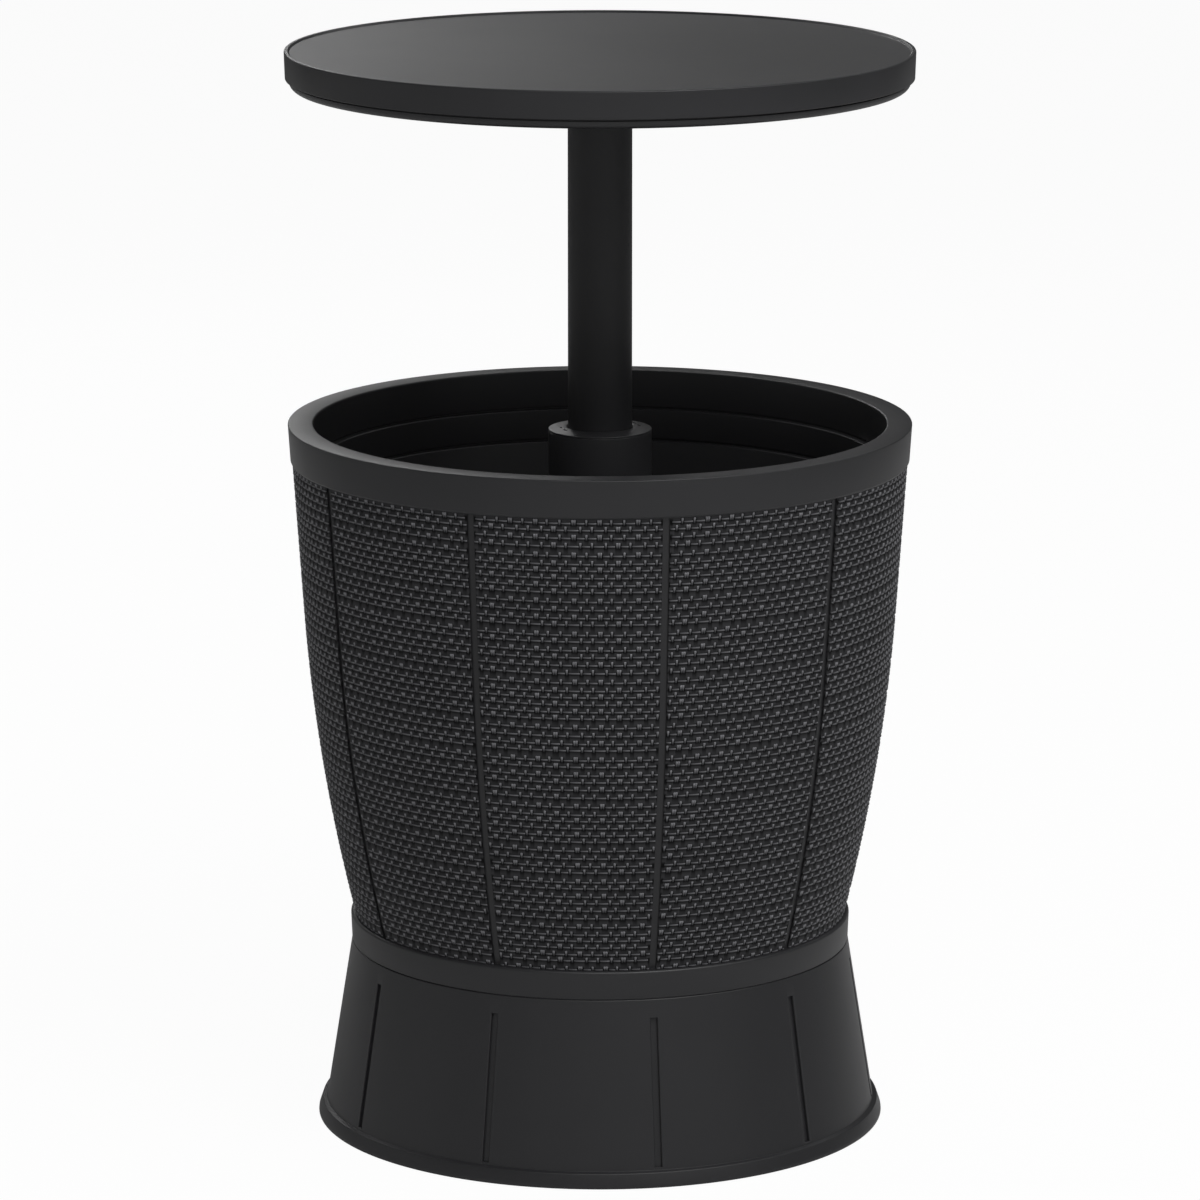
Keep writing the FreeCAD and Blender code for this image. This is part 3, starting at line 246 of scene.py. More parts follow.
def ring_test(ring: Ring) -> Callable[[Vector, Vector], bool]:
    """Make a test for edges that lie on one ring of a turned piece.

    Args:
        ring: The ring.

    Returns:
        A function that takes an edge's two ends.
    """
    def on_ring(first: Vector, second: Vector) -> bool:
        """Say whether both ends lie on the ring."""
        return all(
            abs(end.z - ring.height * MM) < 2 * SAME_PLACE
            and abs(end.xy.length - ring.radius * MM) < 2 * SAME_PLACE
            for end in (first, second)
        )
    return on_ring


def round_ring(
    piece: bpy.types.Object, rings: Sequence[Ring], index: int, steps: int
) -> None:
    """Bevel one ring of a turned piece that is open in edit mode.

    Args:
        piece: The turned piece.
        rings: Its outline.
        index: Which ring is rounded.
        steps: Faces across the rounding.
    """
    ring = rings[index]
    offset = rounding_offset(rings[index - 1], ring, rings[(index + 1) % len(rings)])
    select_edges(piece, ring_test(ring))
    bpy.ops.mesh.bevel(
        offset=offset * MM, segments=steps, profile=0.5, affect="EDGES", clamp_overlap=False
    )


def smooth(piece: bpy.types.Object, angle_deg: float = 35.0) -> None:
    """Shade a piece smooth, apart from its sharp edges.

    Args:
        piece: The piece.
        angle_deg: The angle between two faces from which their edge stays sharp.
    """
    deselect_all()
    bpy.context.view_layer.objects.active = piece
    piece.select_set(True)
    bpy.ops.object.shade_smooth_by_angle(angle=math.radians(angle_deg))


def join(piece: bpy.types.Object, other: bpy.types.Object) -> None:
    """Join another mesh into a piece, each one still closed.

    Args:
        piece: The piece that stays.
        other: The mesh that goes into it.
    """
    deselect_all()
    other.select_set(True)
    piece.select_set(True)
    bpy.context.view_layer.objects.active = piece
    bpy.ops.object.join()


def combine(
    piece: bpy.types.Object, other: bpy.types.Object, operation: Operation
) -> None:
    """Weld another solid to a piece, or cut it away, and remove the other.

    Args:
        piece: The piece that is changed.
        other: The solid that is welded on or cut away.
        operation: Whether it is welded on or cut away.
    """
    deselect_all()
    piece.select_set(True)
    bpy.context.view_layer.objects.active = piece
    change = piece.modifiers.new(operation.name.lower(), "BOOLEAN")
    change.operation = operation.value
    change.solver = "EXACT"
    change.object = other
    bpy.ops.object.modifier_apply(modifier=change.name)
    bpy.data.objects.remove(other, do_unlink=True)


def copy_turned(piece: bpy.types.Object, name: str, angle_deg: float) -> bpy.types.Object:
    """Copy a piece with its own mesh, turned about the column's axis.

    Args:
        piece: The piece to copy.
        name: The copy's name.
        angle_deg: How far the copy is turned.

    Returns:
        The copy.
    """
    twin = piece.copy()
    twin.data = piece.data.copy()
    twin.name = twin.data.name = name
    twin.data.transform(Matrix.Rotation(math.radians(angle_deg), 4, "Z"))
    bpy.context.collection.objects.link(twin)
    return twin


def settle(
    piece: bpy.types.Object, body: Body, finish: bpy.types.Material,
    nodes: Sequence[str] = (),
) -> None:
    """Dress a finished piece, tie it to its body and hide the CAD nodes that it stands for.

    Args:
        piece: The finished piece.
        body: The body that it moves with.
        finish: Its material.
        nodes: The CAD nodes that it stands for.
    """
    piece.data.materials.clear()
    piece.data.materials.append(finish)
    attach(piece, body.value)
    if nodes:
        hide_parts(*nodes)
    log.info("%s: %d faces, rides on %s", piece.name, len(piece.data.polygons), body.value)


# Finishes


@dataclass(frozen=True)
class Finish:
    """A finish: its name, its colour and how rough it is."""

    name: str
    colour: str
    roughness: float

    def material(self) -> bpy.types.Material:
        """Build the finish as a material on the object's own coordinates.

        Returns:
            The material.
        """
        made = bpy.data.materials.new(self.name)
        made.use_nodes = True
        tree = made.node_tree
        tree.nodes.clear()
        place = add_node(tree, "ShaderNodeTexCoord").outputs["Object"]
        shader = add_node(tree, "ShaderNodeBsdfPrincipled", inputs=self.sockets(tree, place))
        add_node(tree, "ShaderNodeOutputMaterial", inputs={"Surface": shader.outputs[0]})
        return made

    def sockets(
        self, tree: bpy.types.NodeTree, place: bpy.types.NodeSocket
    ) -> dict[str, Any]:
        """Add the finish's own patterns, and say what its shader gets.

        Args:
            tree: The material's node tree.
            place: The object's own coordinates.

        Returns:
            Values and sockets by the name of the shader's input.
        """
        raise NotImplementedError

    def noise(
        self, tree: bpy.types.NodeTree, place: bpy.types.NodeSocket, size_mm: float,
        detail: float = 2.0,
    ) -> bpy.types.NodeSocket:
        """Add noise.

        Args:
            tree: The material's node tree.
            place: The object's own coordinates.
            size_mm: About how wide its patches are.
            detail: How many finer layers it has.

        Returns:
            The pattern, from 0 to 1.
        """
        node = add_node(
            tree, "ShaderNodeTexNoise",
            inputs={"Vector": place, "Scale": 1000 / size_mm, "Detail": detail},
        )
        return node.outputs[0]

    def spread(
        self, tree: bpy.types.NodeTree, pattern: bpy.types.NodeSocket, low: float, high: float
    ) -> bpy.types.NodeSocket:
        """Turn a pattern into a value between two limits."""
        node = add_node(tree, "ShaderNodeMapRange", inputs={0: pattern, 3: low, 4: high})
        return node.outputs[0]

    def blend(
        self, tree: bpy.types.NodeTree, pattern: bpy.types.NodeSocket, first: str, second: str
    ) -> bpy.types.NodeSocket:
        """Blend two sRGB colours by a pattern.

        Args:
            tree: The material's node tree.
            pattern: The pattern.
            first: The hex colour where the pattern is 0.
            second: The hex colour where it is 1.

        Returns:
            The colour.
        """
        node = add_node(
            tree, "ShaderNodeMix", {"data_type": "RGBA"},
            {0: pattern, 6: linear_colour(first), 7: linear_colour(second)},
        )
        return node.outputs[2]

    def bump(
        self, tree: bpy.types.NodeTree, pattern: bpy.types.NodeSocket, depth_mm: float
    ) -> bpy.types.NodeSocket:
        """Raise a pattern from the surface.

        Args:
            tree: The material's node tree.
            pattern: The pattern.
            depth_mm: How far it stands up where it is 1.

        Returns:
            The normal.
        """
        node = add_node(
            tree, "ShaderNodeBump",
            inputs={"Height": pattern, "Distance": depth_mm * MM, "Strength": 1.0},
        )
        return node.outputs[0]


def shade_of(hex_colour: str, share: float) -> str:
    """Make an sRGB hex colour lighter or darker.

    Args:
        hex_colour: Six hex digits after a hash.
        share: How much is added to each channel, as a share of it.

    Returns:
        The new hex colour.
    """
    digits = hex_colour.lstrip("#")
    channels = [int(digits[i:i + 2], 16) for i in (0, 2, 4)]
    return "#" + "".join(f"{min(255, max(0, round(c * (1 + share)))):02x}" for c in channels)


@dataclass(frozen=True)
class MouldedResin(Finish):
    """Injection moulded plastic: the mould's fine grain and faint cloudy flow."""

    roughness: float = 0.38
    grain_mm: float = 0.7
    grain_depth_mm: float = 0.02
    cloud_mm: float = 90.0
    cloud_share: float = 0.05
    gloss_spread: float = 0.05
    ior: float = 1.49

    def sockets(
        self, tree: bpy.types.NodeTree, place: bpy.types.NodeSocket
    ) -> dict[str, Any]:
        """Add cloudy colour and roughness over a fine grain.

        Args:
            tree: The material's node tree.
            place: The object's own coordinates.

        Returns:
            Values and sockets by the name of the shader's input.
        """
        cloud = self.noise(tree, place, self.cloud_mm, 3.0)
        grain = self.noise(tree, place, self.grain_mm)
        darker = shade_of(self.colour, -self.cloud_share)
        paler = shade_of(self.colour, self.cloud_share)
        smooth_end = self.roughness - self.gloss_spread
        rough_end = self.roughness + self.gloss_spread
        return {
            "Base Color": self.blend(tree, cloud, darker, paler),
            "Roughness": self.spread(tree, cloud, smooth_end, rough_end),
            "Normal": self.bump(tree, grain, self.grain_depth_mm),
            "IOR": self.ior,
        }


@dataclass(frozen=True)
class WovenResin(Finish):
    """The same resin on the weave, with a painted highlight on top of each stitch, painted shade
    in the valleys, and glossier stitches.
    """

    # Near-black painted shade for the valleys and pits under the stitches
    valley_shade: str = "#0d0d0e"
    crest_roughness: float = 0.26
    valley_sheen: float = 0.12
    crest_sheen: float = 0.6
    grain_mm: float = 0.9
    grain_depth_mm: float = 0.02
    cloud_mm: float = 60.0
    uneven_share: float = 0.15
    ior: float = 1.49

    def sockets(
        self, tree: bpy.types.NodeTree, place: bpy.types.NodeSocket
    ) -> dict[str, Any]:
        """Add painted shade in the valleys and a painted highlight on each stitch, from the
        painted light kept on the mesh, with glossier stitches.

        Args:
            tree: The material's node tree.
            place: The object's own coordinates.

        Returns:
            Values and sockets by the name of the shader's input.
        """
        painted_light = add_node(
            tree, "ShaderNodeAttribute",
            {"attribute_type": "GEOMETRY", "attribute_name": "painted_light"},
        ).outputs["Fac"]
        cloud = self.noise(tree, place, self.cloud_mm, 3.0)
        uneven = self.spread(tree, cloud, 1 - self.uneven_share, 1 + self.uneven_share)
        uneven_painted_light = add_node(
            tree, "ShaderNodeMath", {"operation": "MULTIPLY"}, {0: painted_light, 1: uneven}
        ).outputs[0]
        grain = self.noise(tree, place, self.grain_mm)
        return {
            # Base colour runs from painted shade in the valleys to the pale colour, a painted
            # highlight, on the stitches
            "Base Color": self.blend(tree, uneven_painted_light, self.valley_shade, self.colour),
            "Roughness": self.spread(tree, painted_light, self.roughness, self.crest_roughness),
            "Specular IOR Level": self.spread(
                tree, painted_light, self.valley_sheen, self.crest_sheen
            ),
            "Normal": self.bump(tree, grain, self.grain_depth_mm),
            "IOR": self.ior,
        }


@dataclass(frozen=True)
class PowderCoat(Finish):
    """Baked powder paint on a tube: the orange peel of its flow, faintly uneven gloss."""

    peel_mm: float = 1.6
    peel_depth_mm: float = 0.015
    patch_mm: float = 45.0
    patch_share: float = 0.06
    gloss_spread: float = 0.04
    ior: float = 1.5

    def sockets(
        self, tree: bpy.types.NodeTree, place: bpy.types.NodeSocket
    ) -> dict[str, Any]:
        """Add orange peel and patches of gloss.

        Args:
            tree: The material's node tree.
            place: The object's own coordinates.

        Returns:
            Values and sockets by the name of the shader's input.
        """
        peel = self.noise(tree, place, self.peel_mm, 1.0)
        patches = self.noise(tree, place, self.patch_mm)
        darker = shade_of(self.colour, -self.patch_share)
        paler = shade_of(self.colour, self.patch_share)
        smooth_end = self.roughness - self.gloss_spread
        rough_end = self.roughness + self.gloss_spread
        return {
            "Base Color": self.blend(tree, patches, darker, paler),
            "Roughness": self.spread(tree, patches, smooth_end, rough_end),
            "Normal": self.bump(tree, peel, self.peel_depth_mm),
            "IOR": self.ior,
        }


@dataclass(frozen=True)
class FoamedPlastic(Finish):
    """Rigid foam: a skin of burst cells over softer yellowed patches."""

    roughness: float = 0.92
    cell_mm: float = 1.8
    cell_depth_mm: float = 0.35
    patch_mm: float = 30.0
    yellowing: float = 0.12
    gloss_spread: float = 0.06
    ior: float = 1.45

    def sockets(
        self, tree: bpy.types.NodeTree, place: bpy.types.NodeSocket
    ) -> dict[str, Any]:
        """Add cells and yellowed patches.

        Args:
            tree: The material's node tree.
            place: The object's own coordinates.

        Returns:
            Values and sockets by the name of the shader's input.
        """
        cells = add_node(
            tree, "ShaderNodeTexVoronoi",
            inputs={"Vector": place, "Scale": 1000 / self.cell_mm},
        ).outputs["Distance"]
        patches = self.noise(tree, place, self.patch_mm, 3.0)
        aged = shade_of(self.colour, -self.yellowing)
        smooth_end = self.roughness - self.gloss_spread
        return {
            "Base Color": self.blend(tree, patches, aged, self.colour),
            "Roughness": self.spread(tree, cells, smooth_end, self.roughness),
            "Normal": self.bump(tree, cells, self.cell_depth_mm),
            "IOR": self.ior,
        }


@dataclass(frozen=True)
class PlatedSteel(Finish):
    """Zinc plated steel: a grey metal with blotchy crystals and fine scratches."""

    roughness: float = 0.34
    crystal_mm: float = 2.2
    scratch_mm: float = 0.25
    scratch_depth_mm: float = 0.004
    colour_spread: tuple[float, float] = (-0.15, 0.08)
    gloss_spread: tuple[float, float] = (-0.08, 0.1)

    def sockets(
        self, tree: bpy.types.NodeTree, place: bpy.types.NodeSocket
    ) -> dict[str, Any]:
        """Add crystals and scratches to a metal.

        Args:
            tree: The material's node tree.
            place: The object's own coordinates.

        Returns:
            Values and sockets by the name of the shader's input.
        """
        crystals = self.noise(tree, place, self.crystal_mm, 4.0)
        scratches = self.noise(tree, place, self.scratch_mm)
        darker, paler = (shade_of(self.colour, share) for share in self.colour_spread)
        smooth_end, rough_end = (self.roughness + step for step in self.gloss_spread)
        return {
            "Base Color": self.blend(tree, crystals, darker, paler),
            "Roughness": self.spread(tree, crystals, smooth_end, rough_end),
            "Normal": self.bump(tree, scratches, self.scratch_depth_mm),
            "Metallic": 1.0,
        }


@dataclass(frozen=True)
class MouldedRubber(Finish):
    """Soft rubber: dull, with a matt bloom in patches and a slightly pitted skin."""

    roughness: float = 0.82
    bloom_mm: float = 12.0
    bloom_share: float = 0.5
    gloss_spread: float = 0.1
    pit_mm: float = 0.5
    pit_depth_mm: float = 0.03
    ior: float = 1.52

    def sockets(
        self, tree: bpy.types.NodeTree, place: bpy.types.NodeSocket
    ) -> dict[str, Any]:
        """Add bloom and pits.

        Args:
            tree: The material's node tree.
            place: The object's own coordinates.

        Returns:
            Values and sockets by the name of the shader's input.
        """
        bloom = self.noise(tree, place, self.bloom_mm, 4.0)
        pits = self.noise(tree, place, self.pit_mm)
        bloomed = shade_of(self.colour, self.bloom_share)
        smooth_end = self.roughness - self.gloss_spread
        return {
            "Base Color": self.blend(tree, bloom, self.colour, bloomed),
            "Roughness": self.spread(tree, bloom, smooth_end, self.roughness),
            "Normal": self.bump(tree, pits, self.pit_depth_mm),
            "IOR": self.ior,
        }


def make_finishes() -> dict[str, bpy.types.Material]:
    """Make the material of every slot in the record, and the weave's own.

    Returns:
        The materials by slot.
    """
    finishes = {
        # Charcoal polypropylene gives the whole cooler its dark satin shell
        "charcoal_resin": MouldedResin("charcoal_polypropylene", "#2f2f31"),
        # The table top is the same resin, a touch paler, so its band reads against the pan
        "top_resin": MouldedResin(
            "table_top_polypropylene", "#303032", cloud_share=0.03, gloss_spread=0.015
        ),
        # Powder coat makes the tube the darkest and plainest thing in view
        "dark_column": PowderCoat("powder_coated_tube", "#252527", 0.45),
        # Hidden structure in a duller, coarser resin
        "inner_resin": MouldedResin("structural_polypropylene", "#202021", 0.5, 1.2, 0.03),
        # Acetal is milky and slippery, which marks the parts that slide
        "bush_plastic": MouldedResin("acetal", "#cfcdc6", 0.3, 1.5, 0.006, 40.0, 0.03),
        # Polyurethane foam shows cells where the barrel would be cut open
        "foam": FoamedPlastic("polyurethane_foam", "#e8e0c8"),
        # Rubber is dull and black beside the satin resin
        "rubber": MouldedRubber("moulded_rubber", "#141414"),
        # Zinc gives the screw heads the only metal sparkle
        "steel": PlatedSteel("zinc_plated_steel", "#a8a9ac"),
        # Painted highlights on the stitches over painted shade in the pits make the weave
        # glitter; the pale colour here is the painted highlight
        "weave": WovenResin("woven_polypropylene", "#86868a", 0.6),
    }
    return {slot: finish.material() for slot, finish in finishes.items()}


# The barrel


@dataclass(frozen=True)
class BarrelLine:
    """The outline of the barrel's weave: straight above, curved in below."""

    top: float = 521.6
    bend: float = 404.4
    top_radius: float = 238.275
    slope: float = 0.0681
    curve_radius: float = 1394.6
    curve_height: float = 499.2

    def radius(self, height: float) -> float:
        """Work out how far the weave's crest lies from the axis.

        Args:
            height: A height in millimetres.

        Returns:
            The radius there, in millimetres.
        """
        if height >= self.bend:
            return self.top_radius - self.slope * (self.top - height)
        at_bend = self.top_radius - self.slope * (self.top - self.bend)
        centre = at_bend - math.sqrt(
            self.curve_radius ** 2 - (self.bend - self.curve_height) ** 2
        )
        return centre + math.sqrt(
            self.curve_radius ** 2 - (height - self.curve_height) ** 2
        )


@dataclass
class WeaveLayout:
    """Where the moulded weave has its weft rows and warp strands."""

    period: float = 97.8
    rows: tuple[float, ...] = (
        512.8, 506.7, 500.5, 493.1, 486.8, 481.7, 476.1, 470.3,
        465.2, 457.8, 451.6, 445.3, 440.2, 432.3, 427.2, 420.4,
    )
    first_row: float = 518.1
    row_step: float = 6.1
    warp_step: float = 9.7
    even_warps: tuple[float, ...] = (
        -66.9, -57.9, -48.7, -37.8, -29.2, -19.0, -9.9, -0.8,
        10.2, 18.8, 29.1, 38.3, 47.4, 58.4, 67.1,
    )
    odd_warps: tuple[float, ...] = (
        -71.8, -62.8, -53.3, -42.9, -33.3, -23.5, -14.8, -5.3,
        5.2, 14.7, 24.6, 33.2, 42.9, 53.3, 62.9, 71.8,
    )
    wide_warps: tuple[float, ...] = (-57.9, -9.9, 38.3, -42.9, -23.5, 5.2, 24.6, 53.3)

    def warps(self, even: bool) -> tuple[float, ...]:
        """Places across the panel of the warp strands that show in a row."""
        return self.even_warps if even else self.odd_warps

    def row_heights(self, low: float) -> list[tuple[float, bool]]:
        """List the weft rows from the top down.

        Args:
            low: The height below which no row is needed.

        Returns:
            Each row's height and whether it is an even one.
        """
        found = [(self.first_row, False)]
        turn = 0
        while True:
            for index, height in enumerate(self.rows):
                place = height - turn * self.period
                if place < low:
                    return found
                found.append((place, index % 2 == 0))
            turn += 1


@dataclass(frozen=True)
class Strand:
    """One raised stitch of the moulded weave: a bar with a leaning top and a fading foot."""

    width: float
    height: float
    rise: float
    lean: float
    foot: float
    side: float = 0.0
    taper: float = 1.0
    cuts: int = 0
    bow: float = 0.0
    # Painted highlight on the stitch: it grows from bright_from to bright_to up the stitch, is
    # weaker towards the left end by left_share because the light falls from the right, and is
    # full from proud_share of the way out from the base
    bright_from: float = 0.0
    bright_to: float = 1.0
    left_share: float = 1.0
    proud_share: float = 0.55

    def model(self, name: str) -> bpy.types.Object:
        """Model the stitch at the origin: across on X, outward on Y, up on Z.

        Args:
            name: The piece's name.

        Returns:
            The closed stitch, with its back on the panel's base.
        """
        deselect_all()
        bpy.ops.mesh.primitive_cube_add(
            size=1, location=(0, -self.rise / 2 * MM, 0),
            scale=(self.width * MM, self.rise * MM, self.height * MM),
        )
        stitch = bpy.context.object
        stitch.name = stitch.data.name = name
        bpy.ops.object.transform_apply(location=True, rotation=True, scale=True)
        enter_edit(stitch)
        top = self.height / 2 * MM
        # Cuts along the bar, so that it can bow
        if self.cuts:
            select_edges(stitch, lambda a, b: abs(a.x - b.x) > SAME_PLACE)
            bpy.ops.mesh.subdivide(number_cuts=self.cuts)
        # The front fades into the base at the foot, which is also narrower
        select_edges(
            stitch, lambda a, b: min(a.y, b.y) > -SAME_PLACE and max(a.z, b.z) < 0
        )
        bpy.ops.transform.translate(value=(0, -self.foot * MM, 0))
        select_edges(stitch, lambda a, b: max(a.z, b.z) < 0)
        bpy.ops.transform.resize(value=(self.taper, 1, 1), center_override=(0, 0, 0))
        # The top leans back and catches the light
        select_edges(
            stitch,
            lambda a, b: min(a.y, b.y) > -SAME_PLACE and min(a.z, b.z) > top - SAME_PLACE,
        )
        bpy.ops.mesh.bevel(offset=self.lean * MM, segments=2, profile=0.5, affect="EDGES")
        if self.side:
            back = -self.rise * MM
            select_edges(
                stitch,
                lambda a, b: a.x * b.x > 0 and min(a.y, b.y) > back + SAME_PLACE
                and abs(a.z - b.z) > SAME_PLACE,
            )
            bpy.ops.mesh.bevel(offset=self.side * MM, segments=1, affect="EDGES")
        bpy.ops.mesh.select_all(action="SELECT")
        bpy.ops.mesh.normals_make_consistent(inside=False)
        leave_edit()
        return stitch

    def shape(self, name: str) -> tuple[np.ndarray, list[list[int]], np.ndarray]:
        """Model the stitch once and read it for copying.

        Args:
            name: The name that it has meanwhile.

        Returns:
            Its points in millimetres, its faces, and how much painted highlight each point gets.
        """
        stitch = self.model(name)
        points = np.array([tuple(v.co) for v in stitch.data.vertices]) / MM
        faces = [list(face.vertices) for face in stitch.data.polygons]
        # Painted highlight, paler towards the top, the outer face and the right end of the
        # stitch, where the light falls
        spread = self.bright_to - self.bright_from
        upper = np.clip((points[:, 2] - self.bright_from) / spread, 0, 1)
        proud = np.clip((points[:, 1] + self.rise) / (self.proud_share * self.rise), 0, 1)
        along = np.clip(points[:, 0] / self.width + 0.5, 0, 1)
        upper *= self.left_share + (1 - self.left_share) * along
        points[:, 1] -= self.bow * (2 * points[:, 0] / self.width) ** 2
        bpy.data.objects.remove(stitch, do_unlink=True)
        return points, faces, upper * proud


@dataclass(frozen=True)
class BaseLine:
    """One line across a panel's base: its place above its row, and what the base is there."""

    place: float
    depth: float
    # How much painted light the base gets there; low values are painted shade
    painted_light: float
    pit_share: float = 0.0


@dataclass
class WovenPanel:
    """One moulded panel of weave between two grooves: a base with stitches on it."""

    line: BarrelLine = field(default_factory=BarrelLine)
    layout: WeaveLayout = field(default_factory=WeaveLayout)
    low: float = 162.4
    high: float = 521.4
    groove_half_width: float = 2.7
    sunk: float = 3.1
    back_lines: tuple[int, int] = (25, 17)
    # The base at each row: above its stitches, in the hollow under them and on the ribbon; its
    # painted light is lowest in the hollow under the stitches, which is painted shade
    row_lines: tuple[BaseLine, ...] = (
        BaseLine(0.9, 1.05, 0.14, 1.0), BaseLine(-0.55, 1.35, 0.0, 1.0),
        BaseLine(-1.5, 1.0, 0.098, 1.0),
    )
    # The ribbon halfway to the next row, once more where rows lie far apart, and at the ends
    ribbon_line: BaseLine = BaseLine(0.0, 0.8, 0.168, 0.55)
    wide_line: BaseLine = BaseLine(-1.0, 0.8, 0.168, 0.4)
    end_line: BaseLine = BaseLine(0.0, 0.8, 0.14)
    wide_row_gap: float = 7.0
    rows_below: float = 4.0
    foot_room: float = 2.2
    head_room: float = 0.2
    # The pits in which the warp strands dive, which are also painted dark as painted shade
    pit_depth: float = 1.6
    pit_half: float = 1.35
    pit_slope: float = 0.6
    overlap: float = 3.0
    least_step: float = 0.12
    # The stitches and the gaps that they leave
    weft_gap: float = 1.35
    wide_gap: float = 2.35
    wide_step: float = 0.85
    weft_edge: float = 0.25
    warp_edge: float = 0.6
    shortest: float = 1.3
    lowest_row: float = 1.2
    warp_reach: float = 2.8
    warp_lift: float = 0.8
    weft: Strand = Strand(
        5.0, 1.25, 1.5, lean=0.75, foot=0.4, cuts=3, bow=0.4, bright_from=-0.6, bright_to=0.1,
        left_share=0.35,
    )
    warp: Strand = Strand(
        1.8, 4.9, 1.5, lean=1.3, foot=1.2, side=0.3, taper=0.65, bright_from=-1.4, bright_to=1.4
    )
    outline_room: float = 5.0
    outline_steps: int = 400
    sharp_deg: float = 55.0

    def weft_lines(self) -> list[tuple[float, BaseLine, tuple[float, ...]]]:
        """Work out the lines across the base, from the foot up.

        Returns:
            Each line's height, the line, and the warp strands that dive there.
        """
        rows = self.layout.row_heights(self.low - self.rows_below)
        after_last = (rows[-1][0] - self.layout.row_step, True)
        lines: list[tuple[float, BaseLine, tuple[float, ...]]] = []
        for (height, even), (below, _) in zip(rows, [*rows[1:], after_last]):
            middle = (height + below) / 2
            warps = self.layout.warps(even)
            lines += [(height + line.place, line, warps) for line in self.row_lines]
            lines.append((middle + self.ribbon_line.place, self.ribbon_line, warps))
            if height - below > self.wide_row_gap:
                lines.append((middle + self.wide_line.place, self.wide_line, warps))
        foot, head = self.low + self.foot_room, self.high - self.head_room
        lines = [line for line in lines if foot < line[0] < head]
        lines += [(height, self.end_line, ()) for height in (self.low, self.high)]
        return sorted(lines, key=lambda line: line[0])

    def pit_width(self, warp: float) -> float:
        """Half the width of the pit at a warp strand."""
        return self.pit_half + (self.wide_step if warp in self.layout.wide_warps else 0.0)

    def warp_lines(self) -> np.ndarray:
        """Work out the lines up the base, at the sides of every pit.

        Returns:
            Their places across the panel, from left to right.
        """
        widest = self.half_width(self.high) + self.overlap
        lines = [-widest]
        wanted = sorted(
            warp + side * (self.pit_width(warp) + step)
            for warp in (*self.layout.even_warps, *self.layout.odd_warps)
            for side in (-1, 1) for step in (0.0, self.pit_slope)
        )
        for place in [*wanted, widest]:
            if place - lines[-1] > self.least_step:
                lines.append(place)
        return np.array(lines)

    def pits(self, across: np.ndarray, warps: Sequence[float]) -> np.ndarray:
        """Work out how far each place across the panel lies in a pit.

        Args:
            across: The places.
            warps: The warp strands that dive.

        Returns:
            A share for each place, from 0 outside the pits to 1 at their floor.
        """
        inside = np.zeros(len(across))
        for warp in warps:
            reach = self.pit_width(warp) + self.pit_slope - np.abs(across - warp)
            inside = np.maximum(inside, np.clip(reach / self.pit_slope, 0, 1))
        return inside

    def half_width(self, height: float) -> float:
        """Work out half the panel's width on the barrel.

        Args:
            height: A height in millimetres.

        Returns:
            The half width there, in millimetres.
        """
        crest = self.line.radius(height)
        return crest * (
            math.radians(PANEL_DEG / 2) - math.asin(self.groove_half_width / crest)
        )

    def places(self) -> tuple[list[tuple[float, float, float]], list[tuple[float, float]]]:
        """Work out where the stitches lie.

        Returns:
            The weft stitches as left end, right end and height, and the warp stitches as
            place across and height.
        """
        wefts, warps = [], []
        for height, even in self.layout.row_heights(self.low + self.lowest_row):
            edge = self.half_width(height) - self.weft_edge
            line = self.layout.warps(even)
            step = self.layout.warp_step
            line = [line[0] - step, *line, line[-1] + step]
            for left, right in zip(line, line[1:]):
                gaps = [
                    self.wide_gap if warp in self.layout.wide_warps else self.weft_gap
                    for warp in (left, right)
                ]
                start, end = max(left + gaps[0], -edge), min(right - gaps[1], edge)
                if end - start > self.shortest:
                    wefts.append((start, end, height))
            for warp in line:
                sides = (-1, 1) if warp in self.layout.wide_warps else (0,)
                for side in sides:
                    place = warp + side * self.wide_step
                    fits = height + self.warp_reach < self.high
                    if fits and abs(place) < edge - self.warp_edge:
                        warps.append((place, height + self.warp_lift))
        return wefts, warps

    def stitches(self, name: str) -> bpy.types.Object:
        """Copy the two stitches along every row, as one mesh.

        Args:
            name: The piece's name.

        Returns:
            The stitches, each one closed.
        """
        wefts, warps = self.places()
        points, faces, painted_light = self.weft.shape(f"{name}_weft")
        parts = []
        for start, end, height in wefts:
            longer = (end - start - self.weft.width) / 2
            moved = points * [min(1.0, (end - start) / self.weft.width), 1, 1]
            moved[:, 0] += np.sign(points[:, 0]) * max(longer, 0) + (start + end) / 2
            moved[:, 2] += height
            parts.append((moved, faces, painted_light))
        points, faces, painted_light = self.warp.shape(f"{name}_warp")
        parts += [(points + [place, 0, height], faces, painted_light) for place, height in warps]
        count, all_faces = 0, []
        for moved, stitch_faces, _ in parts:
            all_faces += [[corner + count for corner in face] for face in stitch_faces]
            count += len(moved)
        laid = self.lay(np.concatenate([moved for moved, _, _ in parts]))
        mesh = bpy.data.meshes.new(name)
        mesh.from_pydata(laid.tolist(), [], all_faces)
        self.keep_painted_light(mesh, np.concatenate([painted_highlight for _, _, painted_highlight in parts]))
        piece = bpy.data.objects.new(name, mesh)
        bpy.context.collection.objects.link(piece)
        return piece

    def lay(self, flat: np.ndarray) -> np.ndarray:
        """Lay points on the barrel's outline.

        Args:
            flat: Place across, depth against the crest, and height, in millimetres.

        Returns:
            The points in metres, round azimuth zero.
        """
        heights = np.linspace(
            self.low - self.outline_room, self.high + self.outline_room, self.outline_steps
        )
        crests = np.array([self.line.radius(height) for height in heights])
        crest = np.interp(flat[:, 2], heights, crests)
        angle = flat[:, 0] / crest
        reach = crest + flat[:, 1]
        return np.stack([reach * np.cos(angle), reach * np.sin(angle), flat[:, 2]], 1) * MM

